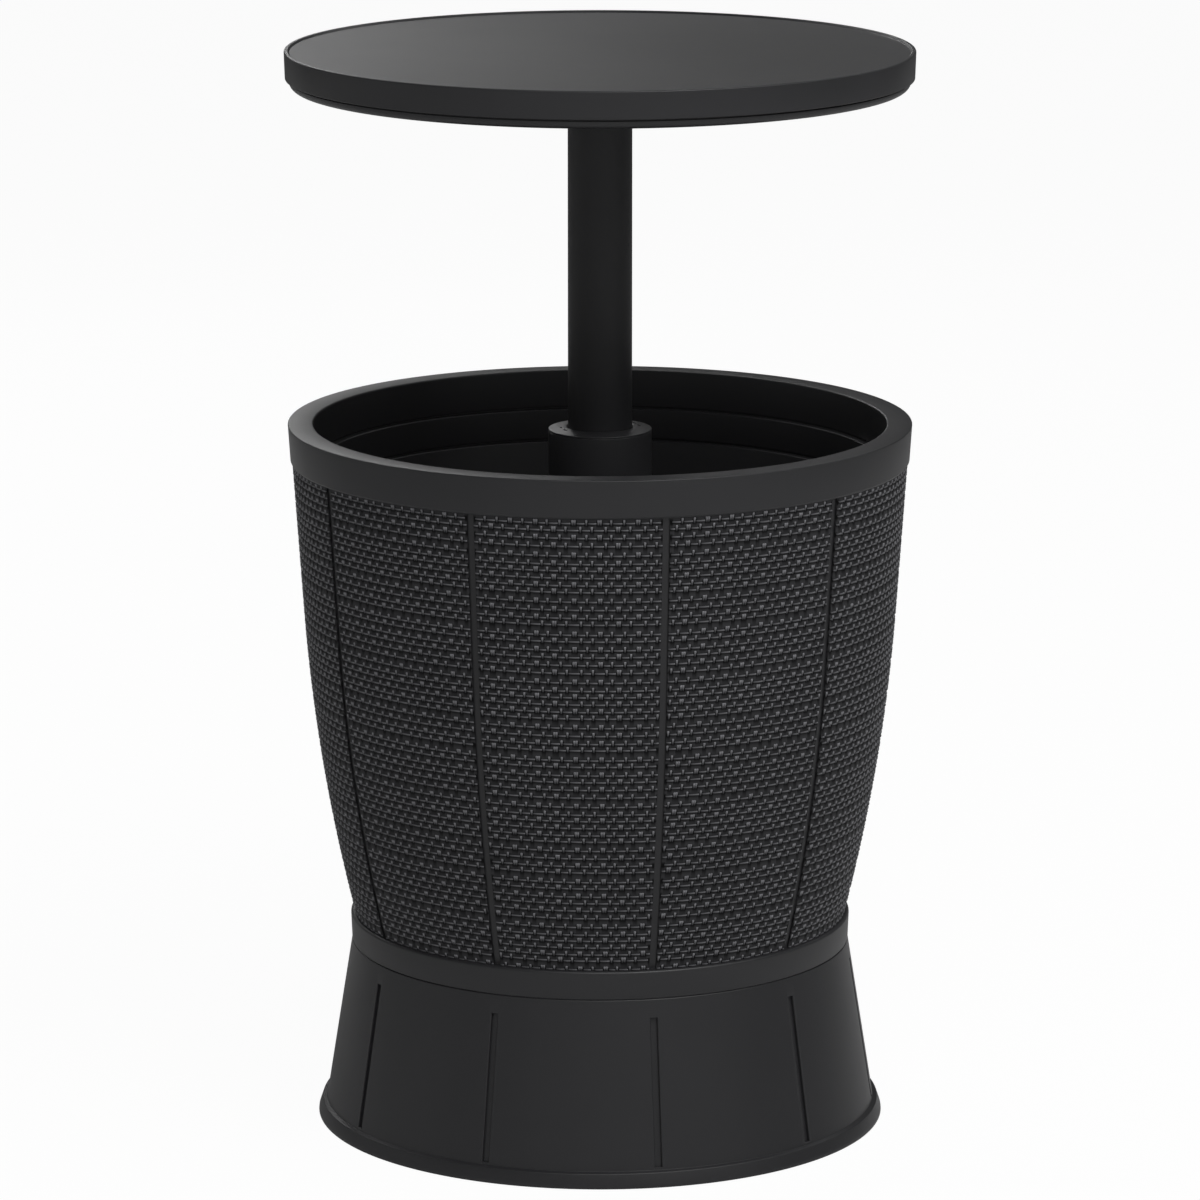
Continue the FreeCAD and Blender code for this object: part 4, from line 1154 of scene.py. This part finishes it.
    def keep_painted_light(self, mesh: bpy.types.Mesh, painted_light: np.ndarray) -> None:
        """Keep how much painted light each point of a mesh gets, for its finish to read."""
        layer = mesh.attributes.new("painted_light", "FLOAT", "POINT")
        layer.data.foreach_set("value", painted_light.astype(np.float32))

    def build(self, name: str) -> bpy.types.Object:
        """Model the panel round azimuth zero.

        Args:
            name: The piece's name.

        Returns:
            The closed panel with its stitches.
        """
        across, lines = self.warp_lines(), self.weft_lines()
        depth, painted_light = [], []
        for _, line, warps in lines:
            pit = line.pit_share * self.pits(across, warps)
            depth.append(-line.depth - (self.pit_depth - line.depth) * pit)
            # The pits are painted dark too, as painted shade
            painted_light.append(line.painted_light * (1 - pit))
        heights = [height for height, _, _ in lines]
        face = self.sheet(name, across, heights, np.array(depth), np.array(painted_light))
        up_count, across_count = self.back_lines
        plain = np.ones(self.back_lines)
        back = self.sheet(
            f"{name}_back", np.linspace(across[0], across[-1], across_count),
            np.linspace(self.low, self.high, up_count),
            -self.sunk * plain, self.end_line.painted_light * plain,
        )
        for sheet in (face, back):
            self.trim(sheet)
        join(face, back)
        enter_edit(face)
        bpy.ops.mesh.select_mode(type="EDGE")
        bpy.ops.mesh.select_all(action="DESELECT")
        bpy.ops.mesh.select_non_manifold(
            use_wire=False, use_boundary=True, use_multi_face=False,
            use_non_contiguous=False, use_verts=False,
        )
        bpy.ops.mesh.bridge_edge_loops()
        bpy.ops.mesh.select_all(action="SELECT")
        bpy.ops.mesh.normals_make_consistent(inside=False)
        leave_edit()
        join(face, self.stitches(f"{name}_stitches"))
        smooth(face, self.sharp_deg)
        return face

    def sheet(
        self, name: str, across: Sequence[float], up: Sequence[float],
        depth: np.ndarray, painted_light: np.ndarray,
    ) -> bpy.types.Object:
        """Add a grid and lay it on the barrel's outline.

        Args:
            name: The sheet's name.
            across: Its lines across the panel.
            up: Its lines up the panel.
            depth: The height of each crossing against the crest, by line up, then across.
            painted_light: How much painted light each crossing gets.

        Returns:
            The open sheet.
        """
        deselect_all()
        bpy.ops.mesh.primitive_grid_add(
            x_subdivisions=len(across) - 1, y_subdivisions=len(up) - 1, size=2
        )
        sheet = bpy.context.object
        sheet.name = sheet.data.name = name
        flat = np.array([tuple(v.co) for v in sheet.data.vertices])
        column = np.rint((flat[:, 0] + 1) / 2 * (len(across) - 1)).astype(int)
        row = np.rint((flat[:, 1] + 1) / 2 * (len(up) - 1)).astype(int)
        laid = self.lay(
            np.stack([np.array(across)[column], depth[row, column], np.array(up)[row]], 1)
        )
        sheet.data.vertices.foreach_set("co", laid.astype(np.float32).ravel())
        self.keep_painted_light(sheet.data, painted_light[row, column])
        sheet.data.update()
        return sheet

    def trim(self, sheet: bpy.types.Object) -> None:
        """Cut a sheet along the two grooves.

        Args:
            sheet: The sheet, laid round azimuth zero.
        """
        half = math.radians(PANEL_DEG / 2)
        enter_edit(sheet)
        for side in (-1, 1):
            outward = Vector((-math.sin(half), side * math.cos(half), 0))
            bpy.ops.mesh.select_all(action="SELECT")
            bpy.ops.mesh.bisect(
                plane_co=-outward * self.groove_half_width * MM, plane_no=outward,
                clear_outer=True, threshold=SAME_PLACE,
            )
        leave_edit()


@dataclass
class Barrel:
    """The barrel: smooth core with neck and band, and ten woven panels on it."""

    line: BarrelLine = field(default_factory=BarrelLine)
    panel: WovenPanel = field(default_factory=WovenPanel)
    groove_depth: float = 2.5
    wall: float = 2.6
    band_foot: float = 141.8
    band_top: float = 163.8
    band_foot_radius: float = 194.49
    band_top_radius: float = 195.39
    flange_radius: float = 167.99
    flange_top: float = 146.3
    neck_radius: float = 235.6
    neck_top: float = 548.0
    curve_step: float = 8.0
    seam: float = 0.1
    foot_wall: float = 3.4
    shoulder: float = 4.5

    def wall_rings(self, inset: float, upward: bool) -> list[Ring]:
        """Work out the rings of the barrel's wall, up or down.

        Args:
            inset: How far they lie inside the weave's crest.
            upward: Whether they run from the foot up.

        Returns:
            The rings, with both ends.
        """
        count = int((self.line.top - self.band_top) / self.curve_step)
        heights = np.linspace(self.band_top, self.line.top, count)
        rings = [Ring(self.line.radius(h) - inset, h) for h in heights]
        return rings if upward else rings[::-1]

    def core(self) -> bpy.types.Object:
        """Model the smooth core: band, groove floor, neck and inner wall.

        Returns:
            The core, in its place.
        """
        inner = self.groove_depth + self.wall
        foot_inner = self.band_foot_radius - self.foot_wall
        top_radius, top = self.line.radius(self.line.top), self.line.top - self.seam
        rings = [
            Ring(self.band_foot_radius, self.band_foot, 0.7),
            Ring(self.band_top_radius, self.band_top, 2.4),
            *self.wall_rings(self.groove_depth, True)[:-1],
            Ring(top_radius - self.groove_depth, top), Ring(self.neck_radius, top),
            Ring(self.neck_radius, self.neck_top), Ring(top_radius - inner, self.neck_top),
            *self.wall_rings(inner, False)[:-1],
            Ring(foot_inner, self.band_top - self.shoulder),
            Ring(foot_inner, self.flange_top),
            Ring(self.flange_radius, self.flange_top),
            Ring(self.flange_radius, self.band_foot),
        ]
        piece = turned_piece("barrel_core", rings)
        smooth(piece)
        return piece

    def build(self, resin: bpy.types.Material, weave: bpy.types.Material) -> None:
        """Build the core and the ten panels and dress them.

        Args:
            resin: The smooth resin.
            weave: The finish of the weave.
        """
        settle(self.core(), Body.COOLER, resin, ["barrel_shell"])
        first = self.panel.build("woven_panel_1")
        middle = FIRST_GROOVE_DEG + PANEL_DEG / 2
        copies = [
            copy_turned(first, f"woven_panel_{k + 1}", middle + PANEL_DEG * k)
            for k in range(1, GROOVE_COUNT)
        ]
        first.data.transform(Matrix.Rotation(math.radians(middle), 4, "Z"))
        for piece in (first, *copies):
            settle(piece, Body.COOLER, weave, ["barrel_shell"])


# The table top


@dataclass
class TableTop:
    """The table top on its tube: tray with a low lip, pan behind a shadow gap, column."""

    hub: float = 24.75
    bore: float = 22.15
    column_foot: float = 434.1
    column_head: float = 833.0
    tray_rings: tuple[Ring, ...] = (
        Ring(60.0, 838.5), Ring(237.1, 838.5, 0.5), Ring(238.3, 840.0, 0.5),
        Ring(241.3, 840.0, 1.2), Ring(240.6, 818.7, 0.6), Ring(237.6, 818.7),
        Ring(237.6, 835.3), Ring(60.0, 835.3),
    )
    pan_rings: tuple[Ring, ...] = (
        Ring(25.05, 811.2, 0.4), Ring(225.2, 811.2, 0.3), Ring(225.2, 812.8),
        Ring(230.2, 812.8), Ring(230.2, 811.2, 0.3), Ring(237.65, 811.2, 5.8),
        Ring(237.65, 817.1), Ring(235.6, 817.1), Ring(235.6, 826.0), Ring(234.1, 826.0),
        Ring(234.1, 814.0), Ring(25.05, 814.0),
    )

    def build(self, resin: bpy.types.Material, coat: bpy.types.Material) -> None:
        """Build the tray, the pan and the column and dress them.

        Args:
            resin: The resin of the tray and the pan.
            coat: The coat on the column.
        """
        tray = turned_piece("table_top_tray", self.tray_rings, solid=True)
        smooth(tray)
        settle(tray, Body.TOP, resin, ["lid_tray"])
        pan = turned_piece("table_top_pan", self.pan_rings, steps=8)
        smooth(pan)
        settle(pan, Body.TOP, resin, ["lid_pan"])
        column = turned_piece("column_tube", (
            Ring(self.hub, self.column_foot, 0.8), Ring(self.hub, self.column_head, 0.8),
            Ring(self.bore, self.column_head, 0.5), Ring(self.bore, self.column_foot, 0.5),
        ), TUBE_SEGMENTS)
        smooth(column)
        settle(column, Body.TOP, coat, ["column"])


# The cooler


@dataclass
class Tub:
    """The tub with its rim, steps and sump, the tower on its floor and the collar."""

    sump_place: tuple[float, float] = (-23.62, 107.43)
    # Radius, foot and top of the sump's wall, of its hollow and of its drain hole
    sump_outer: tuple[float, float, float] = (29.0, 208.0, 223.5)
    sump_inner: tuple[float, float, float] = (26.0, 211.0, 228.0)
    sump_hole: tuple[float, float, float] = (11.3, 205.0, 214.0)
    # The pairs of turning arrows on the collar
    arrow_azimuths: tuple[float, float] = (199.0, 379.0)
    arrow_spread: float = 7.0
    arrow_radius: float = 30.5
    arrow_middle: float = 546.8
    arrow_sunk: float = 2.0
    arrow_shaft: tuple[float, float] = (1.2, 3.6)
    arrow_head: float = 1.9
    arrow_head_place: float = 2.6
    tub_rings: tuple[Ring, ...] = (
        Ring(38.65, 225.0), Ring(180.0, 225.0, 16.0), Ring(210.2, 495.6, 1.0),
        Ring(217.1, 495.6), Ring(217.1, 497.3), Ring(215.43, 497.3), Ring(215.8, 520.5, 1.0),
        Ring(222.7, 520.5), Ring(222.7, 522.2), Ring(221.03, 522.2),
        Ring(221.4, 551.2, 1.3), Ring(241.1, 551.2, 0.9), Ring(239.3, 523.2, 0.8),
        Ring(238.0, 521.6, 0.5), Ring(236.9, 521.6), Ring(236.9, 548.0), Ring(224.4, 548.0),
        Ring(224.0, 517.5), Ring(218.8, 517.5), Ring(218.4, 492.6), Ring(213.2, 492.6),
        Ring(183.0, 222.0), Ring(38.65, 222.0),
    )
    tower_rings: tuple[Ring, ...] = (
        Ring(36.8, 544.5), Ring(39.1, 544.5), Ring(39.9, 543.7, 0.4), Ring(41.1, 225.0),
        Ring(38.35, 225.0), Ring(38.35, 222.0), Ring(36.8, 222.0),
    )
    collar_rings: tuple[Ring, ...] = (
        Ring(25.05, 544.5), Ring(32.0, 544.5), Ring(32.0, 543.0), Ring(36.5, 543.0),
        Ring(36.5, 544.2), Ring(39.9, 544.2), Ring(39.9, 545.5, 0.5), Ring(27.5, 547.0, 4.0),
        Ring(26.05, 547.0, 0.3), Ring(25.05, 546.0),
    )

    def well(self, radius: float, low: float, high: float) -> bpy.types.Object:
        """Add a round block at the sump, to weld on or cut away.

        Args:
            radius: Its radius in millimetres.
            low: The height of its foot.
            high: The height of its top.

        Returns:
            The block.
        """
        deselect_all()
        bpy.ops.mesh.primitive_cylinder_add(
            vertices=SUMP_SEGMENTS, radius=radius * MM, depth=(high - low) * MM,
            location=(
                self.sump_place[0] * MM, self.sump_place[1] * MM, (low + high) / 2 * MM
            ),
        )
        return bpy.context.object

    def build(self, resin: bpy.types.Material) -> None:
        """Build the tub, the tower and the collar and dress them.

        Args:
            resin: The smooth resin.
        """
        tub = turned_piece("tub_liner", self.tub_rings)
        combine(tub, self.well(*self.sump_outer), Operation.WELD)
        combine(tub, self.well(*self.sump_inner), Operation.CUT)
        combine(tub, self.well(*self.sump_hole), Operation.CUT)
        smooth(tub)
        settle(tub, Body.COOLER, resin, ["tub"])
        tower = turned_piece("tower_tube", self.tower_rings, TUBE_SEGMENTS)
        smooth(tower)
        settle(tower, Body.COOLER, resin, ["centre_tower"])
        collar = turned_piece("collar_ring", self.collar_rings, TUBE_SEGMENTS)
        for azimuth in self.arrow_azimuths:
            for side in (-1, 1):
                cutter = self.arrow(azimuth + side * self.arrow_spread, side)
                combine(collar, cutter, Operation.CUT)
        smooth(collar)
        settle(collar, Body.COOLER, resin, ["lock_collar"])

    def arrow(self, azimuth: float, side: int) -> bpy.types.Object:
        """Make the cutter for one turning arrow sunk in the collar.

        Args:
            azimuth: Where it lies on the collar, in degrees.
            side: Which way it points round the collar, as -1 or 1.

        Returns:
            The cutter: a shaft with a pointed head.
        """
        place = Vector((self.arrow_radius, 0, self.arrow_middle)) * MM
        across, along = self.arrow_shaft
        deselect_all()
        bpy.ops.mesh.primitive_cube_add(
            size=1, location=place, scale=(across * MM, along * MM, self.arrow_sunk * MM)
        )
        cutter = bpy.context.object
        bpy.ops.object.transform_apply(location=True, rotation=True, scale=True)
        deselect_all()
        bpy.ops.mesh.primitive_cylinder_add(
            vertices=3, radius=self.arrow_head * MM, depth=self.arrow_sunk * MM,
            location=place + Vector((0, side * self.arrow_head_place * MM, 0)),
            rotation=(0, 0, math.radians(0 if side > 0 else 180)),
        )
        head = bpy.context.object
        bpy.ops.object.transform_apply(location=True, rotation=True, scale=True)
        combine(cutter, head, Operation.WELD)
        cutter.data.transform(Matrix.Rotation(math.radians(azimuth), 4, "Z"))
        return cutter


@dataclass
class Skirt:
    """The flared foot with its ring bead, ten sunk slots and the pad bosses."""

    lower_radius: float = 214.89
    upper_radius: float = 194.59
    lower: float = 13.6
    upper: float = 140.0
    slot_low: float = 14.5
    slot_high: float = 126.9
    slot_width: float = 5.4
    slot_depth: float = 2.4
    slot_rim: float = 0.45
    cutter_reach: float = 6.0
    boss_circle: float = 198.89
    boss_count: int = 5
    boss_rings: tuple[Ring, ...] = (
        Ring(13.0, 0.5), Ring(13.0, 16.5), Ring(3.0, 16.5), Ring(3.0, 4.5),
        Ring(10.0, 4.5), Ring(10.0, 0.5),
    )
    rings: tuple[Ring, ...] = (
        Ring(221.89, 0.5, 0.6), Ring(221.6, 3.0, 2.0), Ring(218.6, 11.7, 0.9),
        Ring(215.05, 12.5, 0.4), Ring(194.42, 141.3, 1.0), Ring(193.4, 141.3),
        Ring(193.4, 141.8), Ring(167.99, 141.8), Ring(167.99, 135.5),
        Ring(191.31, 135.5), Ring(210.89, 13.6), Ring(210.89, 0.5), Ring(214.89, 0.5),
        Ring(214.89, 10.6), Ring(218.89, 10.6), Ring(218.89, 0.5),
    )

    def cutter(self) -> bpy.types.Object:
        """Make the cutter for one slot, with a flared rim, leaning with the wall.

        Returns:
            The cutter, at azimuth zero.
        """
        length = (self.slot_high - self.slot_low) / math.cos(self.lean())
        deselect_all()
        inner = self.slot_depth - self.slot_rim
        bpy.ops.mesh.primitive_cube_add(
            size=1, location=(-(self.slot_depth + self.slot_rim) / 2 * MM, 0, 0),
            scale=(inner * MM, self.slot_width * MM, length * MM),
        )
        cutter = bpy.context.object
        bpy.ops.object.transform_apply(location=True, rotation=True, scale=True)
        enter_edit(cutter)
        bpy.ops.mesh.select_mode(type="FACE")
        mesh = bmesh.from_edit_mesh(cutter.data)
        for face in mesh.faces:
            face.select_set(face.normal.x > abs(face.normal.y) + abs(face.normal.z))
        bmesh.update_edit_mesh(cutter.data)
        bpy.ops.mesh.extrude_region_move(
            TRANSFORM_OT_translate={"value": (self.slot_rim * MM, 0, 0)}
        )
        flare = 1 + 2 * self.slot_rim / self.slot_width
        tall = 1 + 2 * self.slot_rim / length
        bpy.ops.transform.resize(value=(1, flare, tall), center_override=(0, 0, 0))
        bpy.ops.mesh.extrude_region_move(
            TRANSFORM_OT_translate={"value": (self.cutter_reach * MM, 0, 0)}
        )
        leave_edit()
        middle = (self.slot_low + self.slot_high) / 2
        cutter.data.transform(
            Matrix.Translation((self.wall(middle) * MM, 0, middle * MM))
            @ Matrix.Rotation(-self.lean(), 4, "Y")
        )
        return cutter

    def lean(self) -> float:
        """How far the wall leans in, in radians."""
        return math.atan((self.lower_radius - self.upper_radius) / (self.upper - self.lower))

    def wall(self, height: float) -> float:
        """Outer radius of the wall at a height, in millimetres."""
        return self.lower_radius - math.tan(self.lean()) * (height - self.lower)

    def build(self, resin: bpy.types.Material) -> None:
        """Build the skirt and dress it.

        Args:
            resin: The smooth resin.
        """
        skirt = turned_piece("skirt_shell", self.rings, steps=4)
        slot = self.cutter()
        for count in range(GROOVE_COUNT):
            turn = FIRST_GROOVE_DEG + PANEL_DEG * count
            combine(skirt, copy_turned(slot, f"slot_{count}", turn), Operation.CUT)
        bpy.data.objects.remove(slot, do_unlink=True)
        for count in range(self.boss_count):
            boss = turned_piece(f"boss_{count}", self.boss_rings, BOSS_SEGMENTS)
            turn = math.radians(FIRST_GROOVE_DEG + 360.0 / self.boss_count * count)
            boss.data.transform(Matrix.Translation((
                self.boss_circle * MM * math.cos(turn), self.boss_circle * MM * math.sin(turn), 0
            )))
            join(skirt, boss)
        smooth(skirt)
        settle(skirt, Body.COOLER, resin, ["base_skirt"])


# Dress, studio and camera


@dataclass
class Studio:
    """Pale floor, soft lamps and the camera of the photograph."""

    # The camera's lens and frame, and how far it sees in metres
    focal_px: float = 6459.8
    frame_px: float = 1200.0
    sensor_mm: float = 36.0
    sight_m: float = 100.0
    camera_back: float = 4907.75
    camera_height: float = 1473.38
    pitch_deg: float = 12.2327
    # The room's light on the cooler, which the camera doesn't see
    room_light: float = 0.0355
    # The floor's side in metres, its paint, and its glow with the share the camera sees
    floor_size: float = 60.0
    floor_paint: float = 0.8
    floor_glow: float = 1.03
    floor_glow_share: float = 0.93
    lamp_distance: float = 4.0
    lamp_aim: float = 0.45
    # Each softbox: azimuth and elevation in degrees, side in metres, power in watts
    softboxes: tuple[tuple[float, float, float, float], ...] = (
        (300, 55, 1.4, 37.4), (265, 55, 1.4, 14.1), (335, 55, 1.4, 12.9),
        (245, 38, 1.6, 1.3), (270, 38, 1.6, 5.0), (295, 38, 1.6, 3.3), (320, 38, 1.6, 8.9),
        (345, 38, 1.6, 7.0), (295, 20, 1.6, 0.9),
        (155, 5, 1.6, 1.3), (175, 5, 1.6, 1.8), (195, 5, 1.6, 2.3), (220, 5, 1.6, 2.2),
        (245, 5, 1.6, 2.8), (270, 5, 1.6, 2.6), (295, 5, 1.6, 2.4), (320, 5, 1.6, 2.4),
        (345, 5, 1.6, 1.0),
        (104, 24, 0.5, 6.2), (98, 24, 0.5, 1.9), (88, 34, 0.5, 1.3), (93, 34, 0.5, 1.2),
        (98, 16, 0.5, 0.15), (98, 9, 0.5, 0.15), (98, 3, 0.5, 0.6), (93, 16, 0.5, 0.2),
        (82, 24, 0.5, 0.25), (125, 20, 0.5, 3.0),
        (20, 10, 1.6, 1.5), (50, 45, 1.6, 9.0), (130, 45, 1.6, 9.0), (60, 3, 1.6, 0.8),
        (125, 3, 1.6, 0.8),
    )

    def camera(self) -> None:
        """Add the camera at the photograph's angle."""
        data = bpy.data.cameras.new("camera")
        data.sensor_fit = "HORIZONTAL"
        data.sensor_width = self.sensor_mm
        data.lens = self.focal_px / self.frame_px * self.sensor_mm
        data.clip_end = self.sight_m
        camera = bpy.data.objects.new("camera", data)
        camera.location = (0, -self.camera_back * MM, self.camera_height * MM)
        camera.rotation_euler = (math.radians(90 - self.pitch_deg), 0, 0)
        bpy.context.collection.objects.link(camera)
        bpy.context.scene.camera = camera

    def world(self) -> None:
        """White for the camera, soft grey light for the object."""
        world = bpy.data.worlds.new("studio")
        bpy.context.scene.world = world
        world.use_nodes = True
        tree = world.node_tree
        tree.nodes.clear()
        path = add_node(tree, "ShaderNodeLightPath")
        room = add_node(
            tree, "ShaderNodeBackground", inputs={0: (1, 1, 1, 1), 1: self.room_light}
        )
        white = add_node(tree, "ShaderNodeBackground", inputs={0: (1, 1, 1, 1), 1: 1.0})
        mix = add_node(
            tree, "ShaderNodeMixShader",
            inputs={0: path.outputs["Is Camera Ray"], 1: room.outputs[0], 2: white.outputs[0]},
        )
        add_node(tree, "ShaderNodeOutputWorld", inputs={"Surface": mix.outputs[0]})

    def floor(self) -> None:
        """Add the pale floor, which keeps a faint shadow."""
        deselect_all()
        bpy.ops.mesh.primitive_plane_add(size=self.floor_size, location=(0, 0, 0))
        floor = bpy.context.object
        floor.name = "floor"
        made = bpy.data.materials.new("pale_floor")
        made.use_nodes = True
        tree = made.node_tree
        tree.nodes.clear()
        path = add_node(tree, "ShaderNodeLightPath")
        pale = (self.floor_paint, self.floor_paint, self.floor_paint, 1)
        paint = add_node(tree, "ShaderNodeBsdfDiffuse", inputs={"Color": pale})
        glow = add_node(
            tree, "ShaderNodeEmission",
            inputs={"Color": (1, 1, 1, 1), "Strength": self.floor_glow},
        )
        share = add_node(
            tree, "ShaderNodeMath", {"operation": "MULTIPLY"},
            {0: path.outputs["Is Camera Ray"], 1: self.floor_glow_share},
        )
        mix = add_node(
            tree, "ShaderNodeMixShader",
            inputs={0: share.outputs[0], 1: paint.outputs[0], 2: glow.outputs[0]},
        )
        add_node(tree, "ShaderNodeOutputMaterial", inputs={"Surface": mix.outputs[0]})
        floor.data.materials.append(made)

    def lamp(self, azimuth: float, elevation: float, size: float, power: float) -> None:
        """Add a square softbox that points at the middle of the cooler.

        Args:
            azimuth: Its direction seen from above, in degrees from +X.
            elevation: Its height above the horizon, in degrees.
            size: The length of its side, in metres.
            power: Its power in watts.
        """
        data = bpy.data.lights.new(f"softbox_{azimuth:.0f}_{elevation:.0f}", "AREA")
        data.shape = "SQUARE"
        data.size = size
        data.energy = power
        turn, rise = math.radians(azimuth), math.radians(elevation)
        outward = Vector((
            math.cos(rise) * math.cos(turn), math.cos(rise) * math.sin(turn), math.sin(rise)
        ))
        lamp = bpy.data.objects.new(data.name, data)
        lamp.location = Vector((0, 0, self.lamp_aim)) + outward * self.lamp_distance
        lamp.rotation_euler = (-outward).to_track_quat("-Z", "Y").to_euler()
        bpy.context.collection.objects.link(lamp)

    def build(self) -> None:
        """Set up camera, world, floor and lamps."""
        bpy.context.scene.view_settings.view_transform = "Standard"
        self.camera()
        self.world()
        self.floor()
        for azimuth, elevation, size, power in self.softboxes:
            self.lamp(azimuth, elevation, size, power)


def dress_frame_nodes(finishes: dict[str, bpy.types.Material]) -> None:
    """Give every CAD node that stays the finish of its material slot.

    Args:
        finishes: A material for each of the record's slots.
    """
    slots = {
        part["node"]: part["material_slot"] for part in frame["record"]["subparts"]
    }
    for name, node in frame["nodes"].items():
        node.data.materials.clear()
        node.data.materials.append(finishes[slots[name]])


def main() -> None:
    """Dress the frame, build each sub-assembly in order, then the studio."""
    logging.basicConfig(level=logging.INFO, format="%(name)s %(message)s")
    finishes = make_finishes()
    resin = finishes["charcoal_resin"]
    dress_frame_nodes(finishes)
    TableTop().build(finishes["top_resin"], finishes["dark_column"])
    Tub().build(resin)
    Skirt().build(resin)
    Barrel().build(resin, finishes["weave"])
    Studio().build()


if __name__ == "__main__":
    main()
